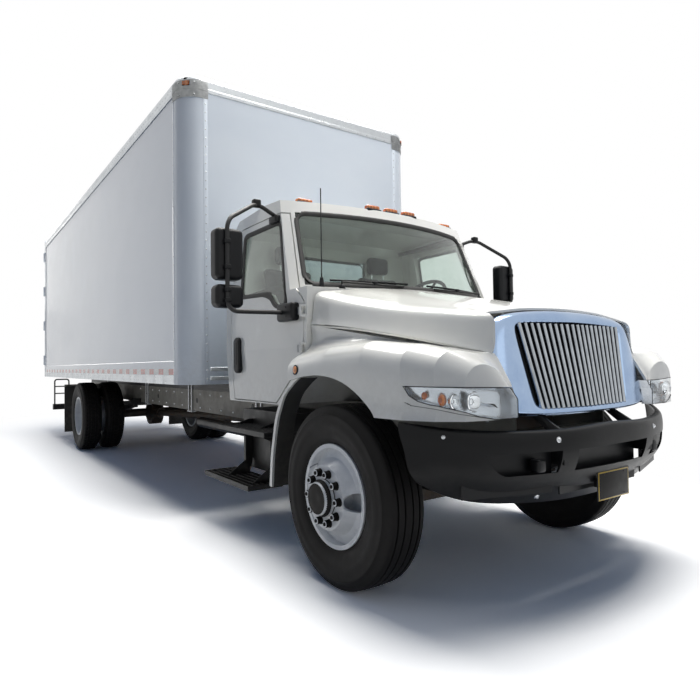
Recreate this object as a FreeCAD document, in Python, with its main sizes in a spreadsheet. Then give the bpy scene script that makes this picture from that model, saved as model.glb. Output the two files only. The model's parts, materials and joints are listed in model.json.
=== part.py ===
import FreeCAD, Part
import Sketcher
import math
import os
import re

# Box truck: a conventional cab with a long dry van body on a two axle chassis.
# +Z is up, +Y points to the rear and +X to the driver's side. Sizes are in millimetres.
# Pieces are drawn with the front axle at y = 0, and each is then placed along the truck.

os.makedirs("parts", exist_ok=True)
doc = FreeCAD.newDocument("BoxTruck")

# Driving dimensions, one row of the sheet for each
driving = {
    # the truck as a whole
    "wheelbase": 6980, "front_reach": 1062, "rail_top": 999, "seating": 0.3, "overrun": 40,
    "pick_reach": 1,
    # box body
    "box_start": 1962, "box_length": 7940, "box_width": 2586, "box_bottom": 1123, "box_top": 3838,
    "box_wall": 38, "front_wall": 50, "corner_radius": 190, "corner_depth": 230, "roof_thick": 30,
    "top_rail": 118, "top_round": 55, "panel_inset": 5, "bottom_rail": 205, "floor_board": 38,
    "sill_depth": 100, "sill_width": 60, "sill_pitch": 610, "sill_first": 300,
    # rear doors and their frame
    "frame_depth": 90, "post_width": 62, "door_head": 130, "leaf_thick": 45,
    "leaf_clearance": 8, "hinge_count": 4, "hinge_stand": 50, "hinge_pin": 10,
    "hinge_barrel": 16, "hinge_long": 120, "hinge_edge": 3,
    "strap_thick": 12, "strap_reach": 110, "strap_high": 70, "hinge_end": 180, "lug_high": 34,
    "lug_wide": 34, "pin_clearance": 1, "lock_rod": 14, "lock_stand": 4, "lock_inset": 230,
    "lock_end": 70, "guide_high": 50, "guide_wide": 60, "handle_up": 820, "handle_long": 320,
    "handle_high": 30,
    # chassis frame
    "frame_spread": 864, "rail_depth": 257, "rail_flange": 89, "rail_wall": 9,
    "frame_front": 740, "frame_tail": 130, "member_depth": 150, "member_wide": 70,
    "member_first": 1560, "member_pitch": 1170,
    # tyres and wheels
    "tyre_radius": 526, "tyre_width": 279, "tread_width": 226, "shoulder_drop": 16,
    "belly_radius": 416, "bead_radius": 286, "bead_width": 206,
    "flange_rise": 12, "rim_edge": 12, "rim_thick": 12, "wheel_offset": 168, "disc_thick": 12,
    "disc_flat": 182, "disc_root": 60, "pilot_bore": 110, "dual_spacing": 337,
    "front_tyre_x": 1010, "rear_tyre_x": 1086, "stud_circle": 143, "nut_count": 10,
    "nut_radius": 19, "nut_high": 40,
    "hand_hole": 52, "hand_circle": 222, "hub_radius": 104, "hub_front_out": 60,
    "hub_rear_out": 70, "cap_radius": 88, "drum_radius": 208, "drum_wide": 150, "drum_back": 50,
    "bearing_clearance": 1,
    # front axle and knuckles
    "kingpin_x": 866, "kingpin_radius": 22, "beam_wide": 92, "beam_high": 80, "beam_drop": 118,
    "beam_flat": 520, "boss_high": 96, "boss_radius": 46, "yoke_gap": 5, "yoke_high": 40,
    "yoke_radius": 50, "spindle_radius": 40, "spindle_end": 60, "knuckle_wide": 80,
    "steer_arm": 230, "steer_arm_thick": 30,
    # rear axle
    "axle_tube": 66, "bowl_radius": 205, "bowl_wide": 180, "pinion_long": 330,
    "pinion_radius": 75,
    # springs
    "front_spring_x": 432, "front_spring_half": 640, "rear_spring_x": 520, "rear_spring_half": 700,
    "leaf_wide": 76, "front_leaf": 36, "rear_leaf": 84, "eye_radius": 32, "hanger_thick": 60,
    "hanger_overlap": 60,
    # engine, gearbox and shaft
    "engine_half": 300, "engine_front": 470, "engine_long": 890, "engine_low": 640,
    "engine_high": 760, "gearbox_radius": 190, "gearbox_end_radius": 110, "gearbox_long": 760,
    "gearbox_up": 760, "shaft_radius": 50,
    "radiator_half": 400, "radiator_front": 690, "radiator_thick": 90, "radiator_high": 400,
    # tanks and steps
    "side_box_wide": 392, "side_box_high": 480, "side_box_long": 800, "side_box_start": 940,
    "side_box_low": 440, "box_clear": 24, "tank_round": 90, "pipe_radius": 55, "pipe_long": 1500,
    "step_outer": 1150, "lower_step_y": 1046, "lower_step_long": 826, "lower_step_z": 369,
    "lower_step_deep": 290, "upper_step_y": 828, "upper_step_long": 839, "upper_step_z": 774,
    "upper_step_deep": 230, "step_thick": 38, "step_hanger": 10, "hanger_first": 1130,
    "hanger_second": 1560, "hanger_bar": 70,
    # cab body
    "cab_wall": 60, "cab_nose": 432, "cab_back": 1705, "cab_toe": 860,
    "cab_toe_up": 1300, "cab_back_low": 1680,
    "cowl_up": 1800, "brow_up": 2470, "crown_up": 2512, "crown_y": 1150, "roof_back_up": 2482,
    "roof_back_y": 1600, "roof_side_round": 95, "roof_back_round": 90,
    "sill_half": 995, "waist_half": 1022, "waist_up": 1400, "belt_half": 1012, "belt_up": 1790,
    "gutter_half": 948, "gutter_up": 2400,
    "glass_radius": 2600, "glass_rake": 23, "glass_back": 8, "glass_thick": 6,
    "screen_low_half": 905, "screen_high_half": 852, "screen_low": 1838, "screen_high": 2402,
    "back_window_half": 430, "back_window_low": 1790, "back_window_high": 2260,
    # cab doors
    "door_gap": 8, "door_front": 468, "door_front_low": 1335, "door_front_high": 1700,
    "door_cowl": 575, "door_bottom": 1016, "door_toe": 885, "door_back_low": 1580,
    "door_hinge_x": 1040, "door_hinge_low": 1390, "door_hinge_high": 1640, "door_pin": 6,
    "door_barrel": 10, "door_barrel_long": 50, "door_lug_high": 18, "door_lug_reach": 26,
    "door_leaf_long": 70, "door_leaf_thick": 5,
    "door_back_belt": 1598, "door_back_high": 1508, "door_top": 2388, "door_top_front": 846,
    "window_front": 690, "window_step": 860, "window_rise": 960, "window_back": 1430,
    "window_low": 1692, "window_belt": 1800, "window_back_belt": 1822, "window_top": 2330,
    "window_top_front": 872, "window_top_back": 1462,
    "handle_y": 1452, "handle_low": 1240, "handle_tall": 250, "handle_out": 26, "handle_wide": 62,
    # mirrors
    "arm_radius": 15, "arm_bend": 70, "mirror_x": 1412, "mirror_wide": 200, "mirror_low": 1852,
    "mirror_tall": 342, "mirror_deep": 90, "mirror_y": 735, "spot_low": 1668, "spot_tall": 152,
    "arm_top_x": 905, "arm_top_y": 935, "arm_top_up": 2350, "arm_elbow_x": 1140,
    "arm_elbow_y": 889, "arm_elbow_up": 2436, "arm_out_x": 1440, "arm_out_y": 749, "arm_out_up": 2244,
    "arm_low_up": 1640, "arm_foot_y": 640,
    # inside the cab
    "dash_half": 880, "dash_back": 800, "dash_low": 1400, "dash_up": 1725, "seat_x": 500,
    "seat_wide": 500, "seat_front": 1010, "cushion_up": 1500,
    "seat_base_up": 1345, "seat_base_inset": 60, "seat_back_y": 1440, "seat_back_thick": 130,
    "seat_top": 2130, "headrest_top": 2320, "headrest_wide": 260, "headrest_thick": 110,
    "headrest_lift": 14, "steer_radius": 222, "steer_grip": 15, "steer_y": 930, "steer_up": 1830,
    "steer_tilt": 42, "steer_hub": 60, "steer_hub_thick": 40, "column_radius": 32, "column_clear": 5,
    "column_long": 260, "column_shaft": 14,
    # hood, fenders, grille and headlamps
    "hood_back": 424, "hood_front": -800, "hood_wall": 12,
    "hood_back_half": 992, "hood_front_half": 690, "shoulder_back_half": 948,
    "shoulder_front_half": 640, "seam_back_up": 1545, "seam_front_up": 1330,
    "shoulder_back_up": 1742, "shoulder_front_up": 1520, "crown_back_up": 1832,
    "crown_front_up": 1578,
    "seam_clear": 3.5, "fender_half": 1172, "fender_low": 1008, "fender_front": -930,
    "fender_crest_up": 1402, "fender_front_up": 1120, "lamp_up": 1168,
    "arch_up": 1215, "arch_front": -440, "arch_back": 420, "arch_back_up": 1180,
    "grille_top_y": -800, "grille_low_y": -898, "grille_top_up": 1478, "grille_low_up": 1045,
    "grille_top_half": 505, "grille_low_half": 425, "surround_top_half": 655,
    "surround_low_half": 640, "surround_low_up": 985, "surround_top_up": 1545, "ridge_out": 34,
    "surround_deep": 60, "slat_wide": 16, "slat_deep": 34, "slat_count": 9,
    "lamp_thick": 70, "lamp_deep": 330, "lamp_clear": 3,
    # bumper
    "bumper_half": 1172, "bumper_front_y": -1062, "bumper_end_y": -622, "bumper_low": 535,
    "bumper_mid_up": 942, "bumper_end_up": 1000, "bumper_end_low": 740, "bumper_cut_y": -676,
    "bumper_wall": 12, "bumper_knee_up": 780, "bumper_tuck": 185, "lip_deep": 46, "lip_round": 30,
    "slot_inner": 445, "slot_outer": 848, "slot_low": 728, "slot_high": 840, "slot_bow": 70,
    "mid_slot_half": 335, "bracket_thick": 60, "bracket_high": 100, "bracket_low": 765,
    "bracket_start_y": -1028, "hood_pivot_y": -960, "hood_pivot_up": 898,
    "hood_pin": 12, "hood_arm_x": 344, "arm_plate": 16, "arm_eye": 22,
    # rear guard, mudflaps
    "guard_half": 1150, "guard_low": 460, "guard_high": 110, "guard_thick": 90, "guard_y_back": 15,
    "guard_post_x": 420, "guard_post_wide": 90,
    "flap_wide": 610, "flap_low": 175, "flap_back": 1110, "flap_thick": 10,
    "flap_x": 918, "flap_bar": 30,
    # lamps
    "marker_long": 130, "marker_deep": 55, "marker_high": 62, "marker_mid_x": 187,
    "marker_out_x": 735, "marker_mid_y": 738, "marker_out_y": 874,
    "tail_count": 3, "tail_radius": 50, "tail_out": 14, "tail_x": 1130, "tail_up": 1190, "tail_pitch": 140,
    "corner_marker_wide": 60, "corner_marker_high": 34, "corner_marker_out": 14,
    "corner_marker_drop": 104,
    # wipers and aerial
    "wiper_arm": 8, "wiper_foot_x": 700, "wiper_foot_y": 470, "wiper_tip_x": 160,
    "wiper_tip_y": 444,
    "wiper_up": 1852, "aerial_radius": 4, "aerial_x": 846, "aerial_y": 505,
    "aerial_foot": 16, "aerial_foot_high": 50, "aerial_high": 690,
}

# Places between two ends, each a share of the way from the first end to the last
hood_run_shares = (0, 0.34, 0.63, 0.86, 1)
hood_taper_shares = (0, 0.15, 0.37, 0.63, 1)
seam_drop_shares = (0, 0.21, 0.5, 0.78, 1)
shoulder_drop_shares = (0, 0.5, 0.78, 0.95, 1)
crown_drop_shares = (0, 0.34, 0.63, 0.86, 1)
hood_side_share = 0.55
brow_shares = ((0.86, 0.42), (0.6, 0.74), (0.3, 0.93))
fender_run_shares = (0, 0.3, 0.56, 0.78, 0.9, 0.97, 1)
fender_crest_shares = (0.77, 0.95, 1, 0.88, 0.75, 0.53, 0)
fender_width_shares = (1, 1, 1, 0.985, 0.93, 0.84, 0.7)
crest_in_shares = (0.86, 0.85, 0.84, 0.83, 0.82, 0.8, 0.78)
fender_nose_share = 0.35
fender_top_shares = (0.35, 0.9)
fender_side_share = 0.6
arch_along_shares = (0.7, 0.45, 0.78)
lamp_across_shares = (0.7, 0.855, 0.957, 0.99, 1.01)

# Bumper stations from the middle to one end: how far out, back and up each one lies
bumper_across_shares = (0, 0.3, 0.512, 0.683, 0.811, 0.922, 1)
bumper_back_shares = (0, 0.043, 0.168, 0.33, 0.527, 0.755, 1)
bumper_top_shares = (0.2, 0, 0.03, 0.17, 0.4, 0.75, 1)
bumper_low_shares = (0, 0.06, 0.15, 0.27, 0.47, 0.8, 1)
bumper_face_shares = (0, 0.3, 0.55, 0.78, 1)
lip_bend_share = 0.29

# How fast the hood's side narrows towards its nose, and the bumper's face tucks in
seam_taper_power = 1.5
tuck_power = 1.3

# Dimensions that follow from the driving ones
derived = {
    "box_end": "=box_start + box_length",
    "box_half": "=box_width / 2",
    "overall_length": "=front_reach + box_end + hinge_stand + hinge_barrel",
    "front_axle_y": "=front_reach - overall_length / 2",
    "rail_bottom": "=rail_top - rail_depth",
    "rail_outer": "=frame_spread / 2",
    "door_sill": "=sill_depth + floor_board",
    "wall_top": "=box_top - top_rail",
    "frame_start": "=box_end - frame_depth",
    "hinge_x": "=box_half - hinge_edge",
    "hinge_y": "=box_end + hinge_stand",
    "opening_half": "=box_half - post_width",
    "leaf_bottom": "=box_bottom + door_sill + leaf_clearance",
    "leaf_top": "=box_top - door_head - leaf_clearance",
    "inner_tyre_x": "=rear_tyre_x - dual_spacing",
    "rear_mount_x": "=rear_tyre_x - wheel_offset",
    "cab_bottom": "=rail_top + seating",
}

sheet = doc.addObject("Spreadsheet::Sheet", "Sizes")
for row, (alias, value) in enumerate(list(driving.items()) + list(derived.items()), 1):
    sheet.set("A%d" % row, alias)
    sheet.set("B%d" % row, str(value))
    sheet.setAlias("B%d" % row, alias)
doc.recompute()

nodes = []


def cells(rule):
    # the words in a rule are names of the sheet's cells
    return re.sub(r"[a-z][a-z_]+\b(?!\()", lambda word: "Sizes." + word[0], str(rule))


def size(rule):
    return float(sheet.evalExpression(cells(rule)))


def bind(item, **rules):
    for name, rule in rules.items():
        item.setExpression(name, cells(rule))
    return item


def place(item, x=0, y=0, z=0):
    for axis, rule in zip("xyz", (x, y, z)):
        item.setExpression("Placement.Base." + axis, cells(rule))
    return item


def turn(item, axis, angle):
    item.Placement = FreeCAD.Placement(FreeCAD.Vector(), FreeCAD.Rotation(axis, angle))


across_axis = FreeCAD.Vector(1, 0, 0)
along_axis = FreeCAD.Vector(0, 1, 0)
up_axis = FreeCAD.Vector(0, 0, 1)


def block(name, wide, long, high, x, y, z):
    item = doc.addObject("Part::Box", name)
    bind(item, Length=wide, Width=long, Height=high)
    return place(item, x, y, z)


def rod(name, radius, long, axis, x, y, z):
    # a cylinder that starts at x, y, z and runs along the axis
    item = doc.addObject("Part::Cylinder", name)
    if axis == "x":
        turn(item, along_axis, 90)
    if axis == "y":
        turn(item, across_axis, -90)
    bind(item, Radius=radius, Height=long)
    return place(item, x, y, z)


def taper(name, radius, end_radius, long, axis, x, y, z):
    item = doc.addObject("Part::Cone", name)
    if axis == "x":
        turn(item, along_axis, 90)
    if axis == "y":
        turn(item, across_axis, -90)
    bind(item, Radius1=radius, Radius2=end_radius, Height=long)
    return place(item, x, y, z)


def fused(name, *items):
    item = doc.addObject("Part::MultiFuse", name)
    item.Shapes = list(items)
    item.Refine = True
    return item


def grouped(name, *items):
    # solids of one node that don't touch
    item = doc.addObject("Part::Compound", name)
    item.Links = list(items)
    return item


def cut(name, base, *tools):
    item = doc.addObject("Part::Cut", name)
    item.Base = base
    item.Tool = tools[0] if len(tools) == 1 else fused(name + "Tools", *tools)
    item.Refine = True
    return item


def common(name, *items):
    item = doc.addObject("Part::MultiCommon", name)
    item.Shapes = list(items)
    return item


def mirrored(name, source):
    item = doc.addObject("Part::Mirroring", name)
    item.Source = source
    item.Normal = across_axis
    return item


def node(label, item):
    # a finished piece gets its own name and its place along the truck
    item.Label = label
    own = [rule for name, rule in item.ExpressionEngine if name.endswith("Placement.Base.y")]
    item.setExpression("Placement.Base.y", " + ".join([cells("front_axle_y")] + own))
    nodes.append(item)
    return item


def other_side(label, item):
    # the mirror image of a finished piece as a node of its own
    item = mirrored(label, item)
    item.Label = label
    nodes.append(item)
    return item


def feature(name, shape):
    item = doc.addObject("Part::Feature", name)
    item.Shape = shape
    return item


def pair(label, item):
    # the piece and its mirror image as two solids of one node
    return node(label, grouped(label + "_pair", item, mirrored(label + "_other", item)))


def outline(body, plane, loops, start):
    # a sketch of closed loops whose corners are bound to the sheet
    sketch = body.newObject("Sketcher::SketchObject", body.Name + "Sketch")
    support = [item for item in body.Origin.OriginFeatures if item.Role == plane + "_Plane"]
    sketch.AttachmentSupport = (support[0], [""])
    sketch.MapMode = "FlatFace"
    sketch.setExpression("AttachmentOffset.Base.z", cells(start))
    for loop in loops:
        corners = [FreeCAD.Vector(size(across), size(up), 0) for across, up in loop]
        first = sketch.GeometryCount
        for corner, after in zip(corners, corners[1:] + corners[:1]):
            sketch.addGeometry(Part.LineSegment(corner, after))
        for step, (across, up) in enumerate(loop):
            edge = first + step
            after = first + (step + 1) % len(loop)
            sketch.addConstraint(Sketcher.Constraint("Coincident", edge, 2, after, 1))
            place_x = sketch.addConstraint(
                Sketcher.Constraint("DistanceX", edge, 1, corners[step].x))
            place_y = sketch.addConstraint(
                Sketcher.Constraint("DistanceY", edge, 1, corners[step].y))
            sketch.setExpression("Constraints[%d]" % place_x, cells(across))
            sketch.setExpression("Constraints[%d]" % place_y, cells(up))
    return sketch


def panel(name, plane, start, depth, *loops):
    # plane XY pads up from z = start, YZ pads to +X from x = start,
    # and XZ pads to the rear from y = start
    body = doc.addObject("PartDesign::Body", name)
    if plane == "XZ":
        start = "-(%s) - (%s)" % (start, depth)
    sketch = outline(body, plane, loops, start)
    pad = body.newObject("PartDesign::Pad", name + "Pad")
    pad.Profile = sketch
    pad.setExpression("Length", cells(depth))
    return body


def turned(name, *loops):
    # a ring or disc turned about the X axis; each corner is (along, radius)
    body = doc.addObject("PartDesign::Body", name)
    sketch = outline(body, "XY", loops, 0)
    ring = body.newObject("PartDesign::Revolution", name + "Turn")
    ring.Profile = sketch
    ring.ReferenceAxis = (sketch, ["H_Axis"])
    ring.Angle = 360
    return body


def rounded(body, radius, wanted):
    # fillet on the edges of the body that the test picks
    doc.recompute()
    tip = body.Tip
    names = ["Edge%d" % (index + 1) for index, edge in enumerate(tip.Shape.Edges) if wanted(edge)]
    fillet = body.newObject("PartDesign::Fillet", body.Name + "Fillet")
    fillet.Base = (tip, names)
    fillet.setExpression("Radius", cells(radius))
    return body


def runs_along(edge, axis):
    # a straight edge that is parallel to the axis
    if edge.Curve.TypeId != "Part::GeomLine":
        return False
    return abs(abs(edge.tangentAt(edge.FirstParameter).dot(axis)) - 1) < 1e-6


# Chassis frame: two channel rails joined by crossmembers
def make_frame():
    length = "frame_front + box_end - frame_tail"
    rail = panel("Rail", "XZ", "-frame_front", length, [
        ("rail_outer", "rail_bottom"), ("rail_outer", "rail_top"),
        ("rail_outer - rail_flange", "rail_top"), ("rail_outer - rail_flange", "rail_top - rail_wall"),
        ("rail_outer - rail_wall", "rail_top - rail_wall"),
        ("rail_outer - rail_wall", "rail_bottom + rail_wall"),
        ("rail_outer - rail_flange", "rail_bottom + rail_wall"),
        ("rail_outer - rail_flange", "rail_bottom")])
    inside = "2 * (rail_outer - rail_wall)"
    member_z = "rail_top - rail_wall - member_depth"
    items = [rail, mirrored("OtherRail", rail)]
    items.append(block("FrontMember", inside, "member_wide", "member_depth",
                       "rail_wall - rail_outer", "-frame_front", "rail_bottom + rail_wall"))
    items.append(block("TailMember", inside, "member_wide", "member_depth",
                       "rail_wall - rail_outer", "box_end - frame_tail - member_wide", member_z))
    count = int(size("(box_end - frame_tail - member_wide - member_first) / member_pitch"))
    for step in range(count + 1):
        items.append(block("Member%d" % step, inside, "member_wide", "member_depth",
                           "rail_wall - rail_outer", "member_first + %d * member_pitch" % step,
                           member_z))
    # bars that the mudflaps hang from
    for side, x in (("Left", "rail_outer"), ("Right", "-flap_x - flap_wide / 2")):
        items.append(block("FlapBar" + side, "flap_x + flap_wide / 2 - rail_outer", "flap_bar",
                           "flap_bar", x, "wheelbase + flap_back - flap_bar - seating",
                           "rail_top - flap_bar"))
    node("frame", fused("Frame", *items))


# Front axle: a forged beam that drops between its two kingpin bosses
def make_front_axle():
    low = "tyre_radius - beam_drop"
    beam = panel("Beam", "XZ", "-beam_wide / 2", "beam_wide", [
        ("-kingpin_x", "tyre_radius - boss_high / 2"),
        ("yoke_radius + 2 * yoke_gap - kingpin_x", "tyre_radius - boss_high / 2"),
        ("-beam_flat", low), ("beam_flat", low),
        ("kingpin_x - yoke_radius - 2 * yoke_gap", "tyre_radius - boss_high / 2"),
        ("kingpin_x", "tyre_radius - boss_high / 2"), ("kingpin_x", "tyre_radius + boss_high / 2"),
        ("kingpin_x - boss_radius", "tyre_radius + boss_high / 2"),
        ("beam_flat", low + " + beam_high"), ("-beam_flat", low + " + beam_high"),
        ("boss_radius - kingpin_x", "tyre_radius + boss_high / 2"),
        ("-kingpin_x", "tyre_radius + boss_high / 2")])
    bosses = []
    bores = []
    for side, sign in (("Left", ""), ("Right", "-")):
        bosses.append(rod("Boss" + side, "boss_radius", "boss_high", "z", sign + "kingpin_x", 0,
                          "tyre_radius - boss_high / 2"))
        bores.append(rod("BossBore" + side, "kingpin_radius + bearing_clearance",
                         "boss_high + 2 * overrun", "z", sign + "kingpin_x", 0,
                         "tyre_radius - boss_high / 2 - overrun"))
    node("front_axle", cut("FrontAxle", fused("FrontBeam", beam, *bosses), *bores))


# Steering knuckle: yoke, kingpin, spindle and steering arm in one piece
def make_knuckles():
    half = "boss_high / 2 + yoke_gap"
    upper = rod("YokeUpper", "yoke_radius", "yoke_high", "z", "kingpin_x", 0,
                "tyre_radius + " + half)
    lower = rod("YokeLower", "yoke_radius", "yoke_high", "z", "kingpin_x", 0,
                "tyre_radius - yoke_high - " + "(" + half + ")")
    pin = rod("Kingpin", "kingpin_radius", "2 * (" + half + ")", "z", "kingpin_x", 0,
              "tyre_radius - (" + half + ")")
    back = "kingpin_x + boss_radius + yoke_gap"
    web = block("KnuckleWeb", "spindle_end / 2", "knuckle_wide", "2 * (" + half + " + yoke_high)",
                back, "-knuckle_wide / 2", "tyre_radius - yoke_high - (" + half + ")")
    ears = []
    for name, z in (("UpperEar", "tyre_radius + " + half),
                    ("LowerEar", "tyre_radius - yoke_high - (" + half + ")")):
        ears.append(block(name, "boss_radius + yoke_gap", "knuckle_wide", "yoke_high",
                          "kingpin_x", "-knuckle_wide / 2", z))
    spindle = rod("Spindle", "spindle_radius", "front_tyre_x + spindle_end - (" + back + ")", "x",
                  back, 0, "tyre_radius")
    arm = block("SteerArm", "steer_arm_thick", "steer_arm", "steer_arm_thick",
                "kingpin_x - steer_arm_thick / 2", 0, "tyre_radius - yoke_high - (" + half + ")")
    knuckle = node("knuckle_left", fused("Knuckle", upper, lower, pin, web, *ears, spindle, arm))
    other_side("knuckle_right", knuckle)


def tyre(name):
    # tread, shoulders, bulged walls and beads of one tyre, centred on its own middle plane
    half_tread = "tread_width / 2"
    body = turned(name, [
        ("-bead_width / 2", "bead_radius"),
        ("-bead_width / 2", "bead_radius + flange_rise + rim_edge / 2"),
        ("-tyre_width / 2", "belly_radius"),
        ("-" + half_tread, "tyre_radius - shoulder_drop"),
        ("shoulder_drop - " + half_tread, "tyre_radius"),
        (half_tread + " - shoulder_drop", "tyre_radius"),
        (half_tread, "tyre_radius - shoulder_drop"), ("tyre_width / 2", "belly_radius"),
        ("bead_width / 2", "bead_radius + flange_rise + rim_edge / 2"),
        ("bead_width / 2", "bead_radius")])
    return body


def wheel(name, way):
    # rim and dished disc; way is 1 where the dish points out and -1 where it points in
    rim_inner = "bead_radius - seating - rim_thick"
    rim_half = "bead_width / 2 + seating"
    flange = "bead_radius + flange_rise"
    rim = turned(name + "Rim", [
        ("-rim_edge - " + rim_half, rim_inner), ("rim_edge + " + rim_half, rim_inner),
        ("rim_edge + " + rim_half, flange), (rim_half, flange),
        (rim_half, "bead_radius - seating"), ("-(" + rim_half + ")", "bead_radius - seating"),
        ("-(" + rim_half + ")", flange), ("-rim_edge - " + rim_half, flange)])
    sign = "" if way > 0 else "-"
    disc = turned(name + "Disc", [
        (sign + "disc_root", rim_inner + " + rim_thick / 2"),
        (sign + "(disc_root / 3 + wheel_offset / 2)", "hand_circle"),
        (sign + "wheel_offset", "disc_flat"), (sign + "wheel_offset", "pilot_bore - rim_thick"),
        (sign + "(wheel_offset - disc_thick)", "pilot_bore - rim_thick"),
        (sign + "(wheel_offset - disc_thick)", "disc_flat - disc_thick / 2"),
        (sign + "(disc_root / 3 + wheel_offset / 2 - disc_thick)", "hand_circle - disc_thick"),
        (sign + "(disc_root - disc_thick)", rim_inner + " + rim_thick / 2")])
    return [rim, disc]


def hand_holes(name, along):
    # two hand holes through the disc, above and below the hub in the wheel's own frame
    holes = []
    for step, sign in enumerate(("", "-")):
        holes.append(rod(name + "Hand%d" % step, "hand_hole", "wheel_offset + overrun", "x",
                         along, sign + "hand_circle", 0))
    return holes


def nuts(name, along):
    # the ring of wheel nuts
    items = []
    count = int(size("nut_count"))
    for step in range(count):
        angle = 2 * math.pi * (step + 0.5) / count
        items.append(rod(name + "Nut%d" % step, "nut_radius", "nut_high", "x", along,
                         "stud_circle * %.6f" % math.sin(angle),
                         "stud_circle * %.6f" % math.cos(angle)))
    return items


def make_front_wheels():
    body = tyre("FrontTyre")
    place(body, "front_tyre_x", 0, "tyre_radius")
    other_side("front_tyre_right", node("front_tyre_left", body))
    # hub, cap and brake drum turn with the wheel about a bore for the spindle
    rim, disc = wheel("FrontWheel", 1)
    hub = turned("FrontHub", [
        ("-drum_back", "spindle_radius + bearing_clearance"), ("-drum_back", "drum_radius"),
        ("drum_back", "drum_radius"), ("drum_back", "hub_radius"),
        ("wheel_offset + hub_front_out / 2", "hub_radius"),
        ("wheel_offset + hub_front_out", "cap_radius"), ("wheel_offset + hub_front_out", "0"),
        ("spindle_end + yoke_gap", "0"),
        ("spindle_end + yoke_gap", "spindle_radius + bearing_clearance")])
    pieces = [cut("FrontDiscHoles", disc, *hand_holes("Front", "0")), rim, hub]
    pieces += nuts("Front", "wheel_offset - disc_thick / 2")
    whole = place(fused("FrontWheelWhole", *pieces), "front_tyre_x", 0, "tyre_radius")
    other_side("front_wheel_right", node("front_wheel_left", whole))


def make_rear_wheels():
    outer = place(tyre("OuterTyre"), "rear_tyre_x", "wheelbase", "tyre_radius")
    inner = place(tyre("InnerTyre"), "inner_tyre_x", "wheelbase", "tyre_radius")
    left = node("rear_tyres_left", grouped("RearTyresLeft", outer, inner))
    other_side("rear_tyres_right", left)
    # the outer wheel is dished in and the inner one out, so that their discs meet on the hub
    pieces = []
    for name, way, at in (("OuterWheel", -1, "rear_tyre_x"), ("InnerWheel", 1, "inner_tyre_x")):
        rim, disc = wheel(name, way)
        pieces.append(place(rim, at, "wheelbase", "tyre_radius"))
        along = "-wheel_offset - overrun" if way < 0 else "0"
        holed = cut(name + "Holed", disc, *hand_holes(name, along))
        pieces.append(place(holed, at, "wheelbase", "tyre_radius"))
    hub = turned("RearHub", [
        ("-drum_wide", "axle_tube + bearing_clearance"), ("-drum_wide", "drum_radius"),
        ("-rim_thick - disc_thick", "drum_radius"), ("-rim_thick - disc_thick", "hub_radius"),
        ("hub_rear_out", "hub_radius"), ("hub_rear_out", "cap_radius"),
        ("hub_rear_out + disc_thick", "cap_radius"), ("hub_rear_out + disc_thick", "0"),
        ("-drum_wide + hub_rear_out", "0"),
        ("-drum_wide + hub_rear_out", "axle_tube + bearing_clearance")])
    pieces.append(place(hub, "rear_mount_x", "wheelbase", "tyre_radius"))
    ring = fused("RearNuts", *nuts("Rear", "disc_thick / 2"))
    pieces.append(place(ring, "rear_mount_x", "wheelbase", "tyre_radius"))
    left = node("rear_wheels_left", fused("RearWheelsLeft", *pieces))
    other_side("rear_wheels_right", left)


# Rear axle: tubes, differential bowl and pinion nose
def make_rear_axle():
    reach = "rear_mount_x - drum_wide + hub_rear_out - yoke_gap"
    tube = rod("AxleTube", "axle_tube", "2 * (" + reach + ")", "x", "-(" + reach + ")", "wheelbase",
               "tyre_radius")
    bowl = rod("AxleBowl", "bowl_radius", "bowl_wide", "x", "-bowl_wide / 2", "wheelbase",
               "tyre_radius")
    nose = taper("PinionNose", "pinion_radius", "bowl_radius - pinion_radius / 2", "pinion_long",
                 "y", 0, "wheelbase - pinion_long", "tyre_radius")
    node("rear_axle", fused("RearAxle", tube, bowl, nose))


def spring(name, x, half, stack, at, top):
    # leaf pack between two eyes, with the brackets that hang it from the rail
    sag = "eye_radius"
    low = "(" + top + ")"
    leaf = panel(name, "YZ", x + " - leaf_wide / 2", "leaf_wide", [
        (at + " - " + half, "rail_bottom - " + sag),
        (at + " - " + half + " / 3", low), (at + " + " + half + " / 3", low),
        (at + " + " + half, "rail_bottom - " + sag),
        (at + " + " + half, "rail_bottom - 2 * " + sag),
        (at + " + " + half + " / 3", low + " - " + stack),
        (at + " - " + half + " / 3", low + " - " + stack),
        (at + " - " + half, "rail_bottom - 2 * " + sag)])
    return leaf


def make_springs():
    # each pack rests on its axle beam or tube and is hung from the rail at both ends
    packs = []
    front_top = "tyre_radius - beam_drop + beam_high + front_leaf"
    rear_top = "tyre_radius + axle_tube + rear_leaf"
    under_rail = ("front_spring_x - leaf_wide / 2", "0")
    beside_rail = ("rail_outer", "hanger_overlap")
    for name, x, half, stack, at, top, hanger in (
            ("FrontSpring", "front_spring_x", "front_spring_half", "front_leaf", "0", front_top,
             under_rail),
            ("RearSpring", "rear_spring_x", "rear_spring_half", "rear_leaf", "wheelbase", rear_top,
             beside_rail)):
        pieces = [spring(name, x, half, stack, at, top)]
        inner, up = hanger
        for end, sign in (("Fore", "-"), ("Aft", "+")):
            y = at + " " + sign + " " + half
            pieces.append(rod(name + end + "Eye", "eye_radius", "leaf_wide", "x",
                              x + " - leaf_wide / 2", y, "rail_bottom - 1.5 * eye_radius"))
            pieces.append(block(name + end + "Hanger", x + " + leaf_wide / 2 - (" + inner + ")",
                                "hanger_thick", up + " + 1.5 * eye_radius", inner,
                                y + " - hanger_thick / 2", "rail_bottom - 1.5 * eye_radius"))
        packs.append(fused(name + "Whole", *pieces))
    both = grouped("SpringsLeft", *packs)
    node("leaf_springs", grouped("Springs", both, mirrored("SpringsRight", both)))


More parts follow.
